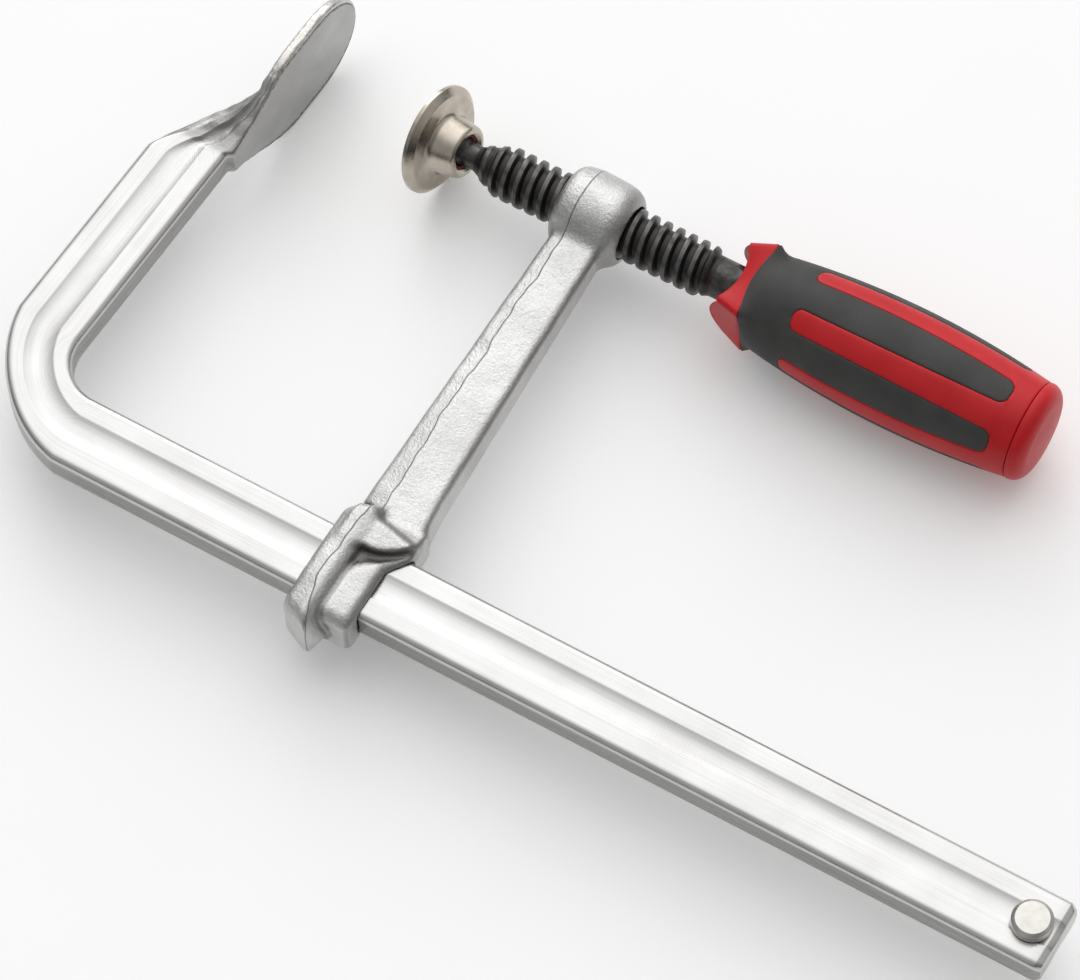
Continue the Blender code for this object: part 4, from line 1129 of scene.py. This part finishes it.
def add_ring_sector(bm, turn, stations, half):
    """A sixth of the rear ring: behind the strip, and behind half an inlay on both sides."""
    for part in (-1, 0, 1):
        rows = []
        for x in stations:
            sector = turn_of(1) / 2 * barrel_radius(x)
            if part == 0:
                sides = spaced(-half, half, 6)
            else:
                sides = [between(half, sector, step / 6) * part for step in range(7)]
            row = []
            for side in sides:
                beside_inlay = abs(side) >= half
                distance = x - GRIP_END_X if beside_inlay else EDGE_ROUND
                distance = min(distance, CAP_SEAM_X - x)
                row.append(bm.verts.new(on_barrel(x, side, turn, rolled_edge(distance))))
            rows.append(row)
        skin_all(bm, rows, closed=False)


def collar_ring(bm, x_at, flat, corner, waist=0, tongue=0):
    """A rounded square about the axis, its x by radius. Waist hollows the middle of each side.

    Two opposite sides come forward there by tongue, and the other two go back by a fifth of it.
    """
    turn = Matrix.Rotation(COLLAR_ANGLE - math.pi / 4, 3, "X")
    ring = []
    for quarter in range(4):
        spin = turn @ Matrix.Rotation(math.pi / 2 * quarter, 3, "X")
        side_half = flat - corner
        forward = tongue if quarter % 2 == 0 else -COLLAR_DRAWN_SHARE * tongue
        for step in range(12):
            share = step / 6 - 1
            along = side_half * share
            swell = 1 - share ** 2
            x = x_at(math.hypot(flat, along)) - forward * swell
            ring.append(bm.verts.new(spin @ Vector((x, flat - waist * swell, along))))
        for step in range(8):
            angle = math.pi / 2 * step / 8
            across = side_half + corner * math.cos(angle)
            along = side_half + corner * math.sin(angle)
            ring.append(bm.verts.new(spin @ Vector((x_at(math.hypot(across, along)), across, along))))
    return ring


def add_collar(bm):
    """Tapered square collar with soft edges, hollow sides and a dished front with two tongues."""
    corner_middle = COLLAR_FLAT_FRONT - COLLAR_CORNER
    corner = math.hypot(corner_middle, corner_middle) + COLLAR_CORNER

    def front_x(radius):
        return COLLAR_FRONT_X + (corner - radius) * COLLAR_DISH_SHARE

    def scaled(ring, x, share):
        return [bm.verts.new((x, vert.co.y * share, vert.co.z * share)) for vert in ring]

    outline = collar_ring(bm, front_x, COLLAR_FLAT_FRONT - COLLAR_SOFT, COLLAR_CORNER - COLLAR_SOFT,
                          tongue=COLLAR_TONGUE)
    bore = []
    for vert in outline:
        radial = Vector((0, vert.co.y, vert.co.z)).normalized() * COLLAR_DISH_RADIUS
        bore.append(bm.verts.new((front_x(COLLAR_DISH_RADIUS), radial.y, radial.z)))
    rings = [scaled(bore, COLLAR_BACK_X, COLLAR_BORE_SHARE), bore, outline]
    for share in (0.35, 0.7, 1):
        sink = COLLAR_SOFT * (1 - math.sin(math.pi / 2 * share))
        push = COLLAR_SOFT * (1 - math.cos(math.pi / 2 * share))
        rings.append(collar_ring(bm, lambda radius: front_x(radius) + push, COLLAR_FLAT_FRONT - sink,
                                 COLLAR_CORNER - sink, COLLAR_HOLLOW * share, COLLAR_TONGUE))
    for share in (0.15, 0.4, 0.65, 0.9):
        flat = between(COLLAR_FLAT_FRONT, COLLAR_FLAT_BACK, share)
        x = between(COLLAR_FRONT_X + COLLAR_SOFT, COLLAR_BACK_X - COLLAR_SOFT, share)
        rings.append(collar_ring(
            bm, lambda radius: x + (corner - min(radius, corner)) * COLLAR_DISH_SHARE * (1 - share),
            flat, COLLAR_CORNER, COLLAR_HOLLOW, COLLAR_TONGUE * (1 - share)))
    for share in (0, 0.5, 1):
        angle = math.pi / 2 * share
        x = COLLAR_BACK_X - COLLAR_SOFT * (1 - math.sin(angle))
        flat = COLLAR_FLAT_BACK - COLLAR_SOFT * (1 - math.cos(angle))
        rings.append(collar_ring(bm, lambda radius: x, flat, COLLAR_CORNER - COLLAR_SOFT * share,
                                 COLLAR_HOLLOW))
    rings.append(scaled(rings[-1], COLLAR_BACK_X, COLLAR_BACK_SHARE))
    skin_all(bm, rings)


def build_core():
    strips = bmesh.new()
    add_strips(strips)
    bmesh.ops.remove_doubles(strips, verts=strips.verts, dist=WELD_DISTANCE)
    add_skirt(strips, SEAM_DEPTH)
    add_collar(strips)
    return finish_piece("handle_red", strips, [red_plastic()])


def build_cap():
    """The end cap, from its low dome over a wide rounding to its seam."""
    seam = CAP_SEAM_X + CAP_GAP
    profile = [(CAP_END_X + CAP_DOME * (1 - (step / 6) ** 2), CAP_FACE_RADIUS * step / 6)
               for step in range(7)]
    rise = CAP_END_X - seam - EDGE_ROUND
    for step in range(1, 15):
        angle = math.pi / 2 * step / 14
        profile.append((seam + EDGE_ROUND + rise * math.cos(angle) ** CAP_RISE_POWER,
                        between(CAP_FACE_RADIUS, HANDLE_REAR_RADIUS, math.sin(angle) ** CAP_SPREAD_POWER)))
    for step in range(1, 5):
        angle = math.pi / 2 * step / 4
        profile.append((seam + EDGE_ROUND * (1 - math.sin(angle)),
                        HANDLE_REAR_RADIUS - EDGE_ROUND * (1 - math.cos(angle))))
    profile.append((seam, HANDLE_REAR_RADIUS - CAP_WALL))
    return lathe("cap_red", profile, Matrix.Identity(4), [red_plastic()], 112)


# Materials
def new_material(name):
    material = bpy.data.materials.new(name)
    material.use_nodes = True
    return material, material.node_tree, material.node_tree.nodes["Principled BSDF"]


def put(tree, socket, value):
    """Link a value that is a socket, and set any other on the input itself."""
    if isinstance(value, bpy.types.NodeSocket):
        tree.links.new(value, socket)
    else:
        socket.default_value = value


def add_node(tree, kind, values=None, **settings):
    made = tree.nodes.new(kind)
    for name, value in settings.items():
        setattr(made, name, value)
    for name, value in (values or {}).items():
        put(tree, made.inputs[name], value)
    return made


def place_of(tree):
    return add_node(tree, "ShaderNodeTexCoord").outputs["Object"]


def grain(tree, size, detail=2, place=None, roughness=0.5):
    """Noise from 0 to 1 whose lumps are about size across."""
    values = {"Vector": place or place_of(tree), "Scale": 1 / size, "Detail": detail,
              "Roughness": roughness}
    return add_node(tree, "ShaderNodeTexNoise", values).outputs["Fac"]


def spread(tree, value, low, high, from_low=0.3, from_high=0.7, way="LINEAR"):
    """Map a value to a range, clamped."""
    values = {"Value": value, "From Min": from_low, "From Max": from_high, "To Min": low, "To Max": high}
    return add_node(tree, "ShaderNodeMapRange", values, interpolation_type=way).outputs["Result"]


def mixed_colour(tree, share, first, second):
    """Mix two colours, each a colour or a socket, by a share."""
    made = add_node(tree, "ShaderNodeMix", {"Factor": share}, data_type="RGBA")
    slots = [socket for socket in made.inputs if socket.type == "RGBA"]
    for slot, colour in zip(slots, (first, second)):
        put(tree, slot, (*colour, 1) if isinstance(colour, tuple) else colour)
    return [socket for socket in made.outputs if socket.type == "RGBA"][0]


def toned(tree, value, dark, light, from_low=0.3, from_high=0.7):
    """A colour between two, by where a value lies in its range."""
    return mixed_colour(tree, spread(tree, value, 0, 1, from_low, from_high), dark, light)


def maths(tree, operation, first, second=0.0):
    made = add_node(tree, "ShaderNodeMath", operation=operation)
    for socket, value in zip(made.inputs, (first, second)):
        put(tree, socket, value)
    return made.outputs[0]


def blended(tree, first, second, share):
    """The first value times its share, plus the second times the rest."""
    return maths(tree, "ADD", maths(tree, "MULTIPLY", first, share),
                 maths(tree, "MULTIPLY", second, 1 - share))


def attribute(tree, name):
    return add_node(tree, "ShaderNodeAttribute", attribute_name=name).outputs["Fac"]


def dressed(look, colour, rough, bumps, metallic=1):
    """Give a look its colour, roughness and a chain of (height, depth) bumps. Returns its material."""
    material, tree, shader = look
    put(tree, shader.inputs["Base Color"], colour)
    put(tree, shader.inputs["Roughness"], rough)
    put(tree, shader.inputs["Metallic"], metallic)
    normal = shader.inputs["Normal"]
    for height, depth in reversed(bumps):
        made = add_node(tree, "ShaderNodeBump", {"Height": height, "Distance": depth, "Strength": 1.0})
        tree.links.new(made.outputs["Normal"], normal)
        normal = made.inputs["Normal"]
    return material


def streak_place(tree, along_size, around_size):
    """Coordinates that stretch a noise along the bar."""
    along = maths(tree, "DIVIDE", attribute(tree, "along"), along_size)
    around = maths(tree, "DIVIDE", attribute(tree, "around"), around_size)
    return add_node(tree, "ShaderNodeCombineXYZ", {"X": along, "Y": around}).outputs["Vector"]


def rail_steel():
    """Bright rolled steel: lengthwise drawing lines, faint stains, rough and darker with scale where it
    was forged, and painted shade on its flanks.
    """
    look = new_material("rail_steel_look")
    tree = look[1]
    lines = grain(tree, 1, 4, streak_place(tree, 40 * MM, 0.35 * MM))
    forged = attribute(tree, "forged")
    tone = blended(tree, lines, grain(tree, 14 * MM, 4), 0.6)
    bright = toned(tree, tone, (0.51, 0.505, 0.495), (0.63, 0.63, 0.625), 0.35, 0.65)
    # painted shade on the bar's flanks, and real forge scale where it was forged, both darken the colour
    # along the streaks
    flank_shade_and_scale = maths(tree, "MAXIMUM", attribute(tree, "flank"), maths(tree, "MULTIPLY", forged, 0.6))
    shade_and_scale_share = maths(tree, "MULTIPLY", flank_shade_and_scale, spread(tree, lines, 0.95, 0.45))
    colour = mixed_colour(tree, shade_and_scale_share, bright, (0.23, 0.225, 0.215))
    rough = maths(tree, "ADD", spread(tree, tone, 0.24, 0.34), maths(tree, "MULTIPLY", forged, 0.1))
    pits = maths(tree, "MULTIPLY", grain(tree, 1.1 * MM, 3), forged)
    return dressed(look, colour, rough, [(lines, 0.012 * MM), (pits, 0.12 * MM)])


def edge_darkened(tree, colour):
    """Darken a colour in a ragged line along the edge of the jaw's face."""
    ragged = maths(tree, "MULTIPLY", attribute(tree, "edge"), grain(tree, 1.2 * MM, 3))
    return mixed_colour(tree, spread(tree, ragged, 0, 0.85, 0.2, 0.42), colour, (0.07, 0.06, 0.055))


def jaw_steel():
    """The jaw's face, finely ground and satin."""
    look = new_material("jaw_face_look")
    tree = look[1]
    fine = grain(tree, 0.35 * MM)
    colour = toned(tree, grain(tree, 9 * MM, 3), (0.4, 0.398, 0.395), (0.47, 0.468, 0.465))
    return dressed(look, edge_darkened(tree, colour), spread(tree, fine, 0.36, 0.46), [(fine, 0.006 * MM)])


def rim_steel():
    """The jaw's rim, left bright by rough grinding."""
    look = new_material("jaw_rim_look")
    tree = look[1]
    facets = add_node(tree, "ShaderNodeTexVoronoi", {"Vector": place_of(tree), "Scale": 1 / (1.4 * MM)})
    fine = grain(tree, 0.5 * MM, 3)
    colour = toned(tree, fine, (0.48, 0.46, 0.435), (0.66, 0.65, 0.63))
    return dressed(look, edge_darkened(tree, colour), spread(tree, fine, 0.22, 0.4),
                   [(facets.outputs["Distance"], 0.07 * MM), (fine, 0.03 * MM)])


def rivet_steel():
    look = new_material("rivet_look")
    tree = look[1]
    cloud = grain(tree, 2.2 * MM, 4)
    colour = toned(tree, cloud, (0.5, 0.48, 0.45), (0.64, 0.63, 0.6))
    return dressed(look, colour, spread(tree, cloud, 0.26, 0.4), [(cloud, 0.02 * MM)])


def forged_steel():
    """Blasted forging: pebbly and satin, with painted shade in its hollows and along its thin flash line.
    """
    look = new_material("forged_steel_look")
    tree = look[1]
    pebbles = grain(tree, 0.75 * MM, 4, roughness=0.65)
    from_line = maths(tree, "ABSOLUTE", attribute(tree, "parting"))
    flash = spread(tree, from_line, 1, 0, 0.05 * MM, 0.26 * MM)
    tone = blended(tree, grain(tree, 16 * MM, 4), pebbles, 0.5)
    base = toned(tree, tone, (0.49, 0.485, 0.48), (0.7, 0.7, 0.696), 0.35, 0.65)
    # painted shade: the colour darkens towards near black where the surface is hollow, as if occluded
    hollow = spread(tree, attribute(tree, "hollow"), 0, 0.9, 0.1, 0.5)
    shaded = mixed_colour(tree, hollow, base, (0.1, 0.094, 0.09))
    # painted shade: the colour darkens along the parting line, standing in for the shade of the small step
    # whose bump the next line draws
    colour = mixed_colour(tree, maths(tree, "MULTIPLY", flash, 0.7), shaded, (0.16, 0.145, 0.14))
    bumps = [(grain(tree, 2.4 * MM, 3), 0.2 * MM), (pebbles, 0.24 * MM), (flash, 0.12 * MM)]
    return dressed(look, colour, spread(tree, pebbles, 0.34, 0.46), bumps)


def black_oxide():
    """Oiled black oxide, with painted shade darkening the thread's roots against its lighter crests."""
    look = new_material("black_oxide_look")
    tree = look[1]
    # painted shade: the colour darkens from the thread's crests into its roots
    root_shade = spread(tree, attribute(tree, "crest"), 0.3, 1.3, 0, 1)
    cloud = maths(tree, "MULTIPLY", grain(tree, 3 * MM, 4), root_shade)
    colour = toned(tree, cloud, (0.036, 0.034, 0.033), (0.12, 0.115, 0.11))
    bumps = [(grain(tree, 0.4 * MM), 0.015 * MM)]
    return dressed(look, colour, spread(tree, cloud, 0.4, 0.3), bumps, 0.75)


def nickel():
    """Warm nickel plate, faintly clouded."""
    look = new_material("nickel_look")
    tree = look[1]
    cloud = grain(tree, 4 * MM, 4)
    colour = toned(tree, cloud, (0.42, 0.37, 0.312), (0.55, 0.5, 0.43))
    return dressed(look, colour, spread(tree, cloud, 0.2, 0.31), [(grain(tree, 0.5 * MM), 0.006 * MM)])


def moulded(name, dark, light, rough, texture, depth):
    """Moulded plastic or rubber with a fine texture and a slight change of tone."""
    look = new_material(name)
    tree = look[1]
    fine = grain(tree, texture, 3)
    look[2].inputs["Specular IOR Level"].default_value = 0.3
    colour = toned(tree, grain(tree, 11 * MM, 3), dark, light)
    return dressed(look, colour, spread(tree, fine, *rough), [(fine, depth)], 0)


def red_plastic():
    """The same red for the core and the cap."""
    name = "red_plastic_look"
    known = bpy.data.materials.get(name)
    return known or moulded(name, (0.53, 0.009, 0.014), (0.61, 0.014, 0.02), (0.36, 0.46), 0.45 * MM,
                            0.012 * MM)


def grey_rubber():
    return moulded("grey_rubber_look", (0.049, 0.048, 0.047), (0.067, 0.065, 0.064), (0.55, 0.7),
                   0.4 * MM, 0.05 * MM)


def seat_plastic():
    # its own brown red, darkened further with painted shade for its sheltered place in the pad's mouth
    return moulded("seat_plastic_look", (0.22, 0.03, 0.018), (0.34, 0.05, 0.03), (0.4, 0.5), 0.5 * MM,
                   0.01 * MM)


# Studio
def add_camera():
    flat = math.cos(CAMERA_ELEVATION)
    back = Vector((math.sin(CAMERA_AZIMUTH) * flat, -math.cos(CAMERA_AZIMUTH) * flat,
                   math.sin(CAMERA_ELEVATION)))
    level = Vector((math.cos(CAMERA_AZIMUTH), math.sin(CAMERA_AZIMUTH), 0))
    right = Matrix.Rotation(CAMERA_ROLL, 3, back) @ level
    data = bpy.data.cameras.new("camera")
    data.lens = CAMERA_LENS
    data.sensor_width = CAMERA_SENSOR
    data.clip_end = CAMERA_CLIP
    camera = add_object("camera", data)
    turn = Matrix((right, back.cross(right), back)).transposed().to_4x4()
    camera.matrix_world = Matrix.Translation(CAMERA_PLACE) @ turn
    bpy.context.scene.camera = camera


def floor_material():
    """A pale floor that looks a little brighter, to the camera and in the metal, than it is lit."""
    look = new_material("floor_look")
    tree, shader = look[1:]
    rays = add_node(tree, "ShaderNodeLightPath").outputs
    seen = maths(tree, "MAXIMUM", rays["Is Camera Ray"], rays["Is Glossy Ray"])
    put(tree, shader.inputs["Emission Strength"], maths(tree, "MULTIPLY", seen, FLOOR_LIFT))
    shader.inputs["Emission Color"].default_value = (1, 1, 1, 1)
    colour = toned(tree, grain(tree, 60 * MM), (0.945, 0.945, 0.945), (0.955, 0.955, 0.955))
    return dressed(look, colour, 0.9, [], 0)


def add_floor():
    bm = bmesh.new()
    bmesh.ops.create_grid(bm, x_segments=1, y_segments=1, size=FLOOR_SIZE)
    mesh = bpy.data.meshes.new("floor")
    bm.to_mesh(mesh)
    bm.free()
    mesh.materials.append(floor_material())
    floor = add_object("floor", mesh)
    floor.location.z = cad_box[0].z - FLOOR_GAP


def add_softbox():
    """A large square light that faces the middle of the clamp."""
    data = bpy.data.lights.new("key", "AREA")
    data.size = KEY_SIZE
    data.energy = KEY_POWER
    lamp = add_object("key", data)
    lamp.location = KEY_PLACE
    aim = (cad_box[0] + cad_box[1]) / 2 - Vector(KEY_PLACE)
    lamp.rotation_euler = aim.to_track_quat("-Z", "Y").to_euler()


def add_world():
    """A pale studio: brighter behind and to the left of the clamp, greyer towards the camera."""
    world = bpy.data.worlds.new("studio")
    bpy.context.scene.world = world
    world.use_nodes = True
    tree = world.node_tree
    background = tree.nodes["Background"]
    direction = add_node(tree, "ShaderNodeTexCoord").outputs["Generated"]
    axes = add_node(tree, "ShaderNodeSeparateXYZ", {"Vector": direction}).outputs
    aside = maths(tree, "ABSOLUTE", maths(tree, "SUBTRACT", axes["X"], SKY_MIDDLE_X))
    level = spread(tree, aside, SKY_BRIGHT, SKY_BRIGHT * SKY_SIDE_SHARE, *SKY_SIDE_RANGE, "SMOOTHSTEP")
    for axis, share, places in (("Y", SKY_NEAR_SHARE, SKY_NEAR_RANGE),
                                ("Z", SKY_HORIZON_SHARE, SKY_HORIZON_RANGE)):
        part = spread(tree, axes[axis], share, 1, *places, "SMOOTHSTEP")
        level = maths(tree, "MULTIPLY", level, part)
    tree.links.new(level, background.inputs["Strength"])
    background.inputs["Color"].default_value = (1, 1, 1, 1)


def add_studio():
    add_camera()
    add_floor()
    add_world()
    add_softbox()


# The clamp
def add_pieces():
    plan = [
        (build_rail(), "frame", "rail_frame", "rail_steel"),
        (build_rivet(), "frame", "stop_rivet", "rivet_steel"),
        (build_arm(), "arm", "sliding_arm", "forged_steel"),
        (build_screw(), "screw", "spindle", "black_oxide"),
        (build_pad(), "pad", "swivel_pad", "nickel"),
        (build_core(), "screw", "handle_core", "red_plastic"),
        (build_grip(), "screw", "handle_grip", "grey_rubber"),
        (build_cap(), "screw", "handle_end_cap", "red_plastic"),
    ]
    for piece, body, node, slot in plan:
        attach(piece, body)
        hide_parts(node)
    insert = seat_plastic()
    for node in ("ball_seat", "seat_ring"):
        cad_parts[node].data.materials.clear()
        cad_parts[node].data.materials.append(insert)


add_studio()
add_pieces()
bpy.context.scene.view_settings.view_transform = "Standard"
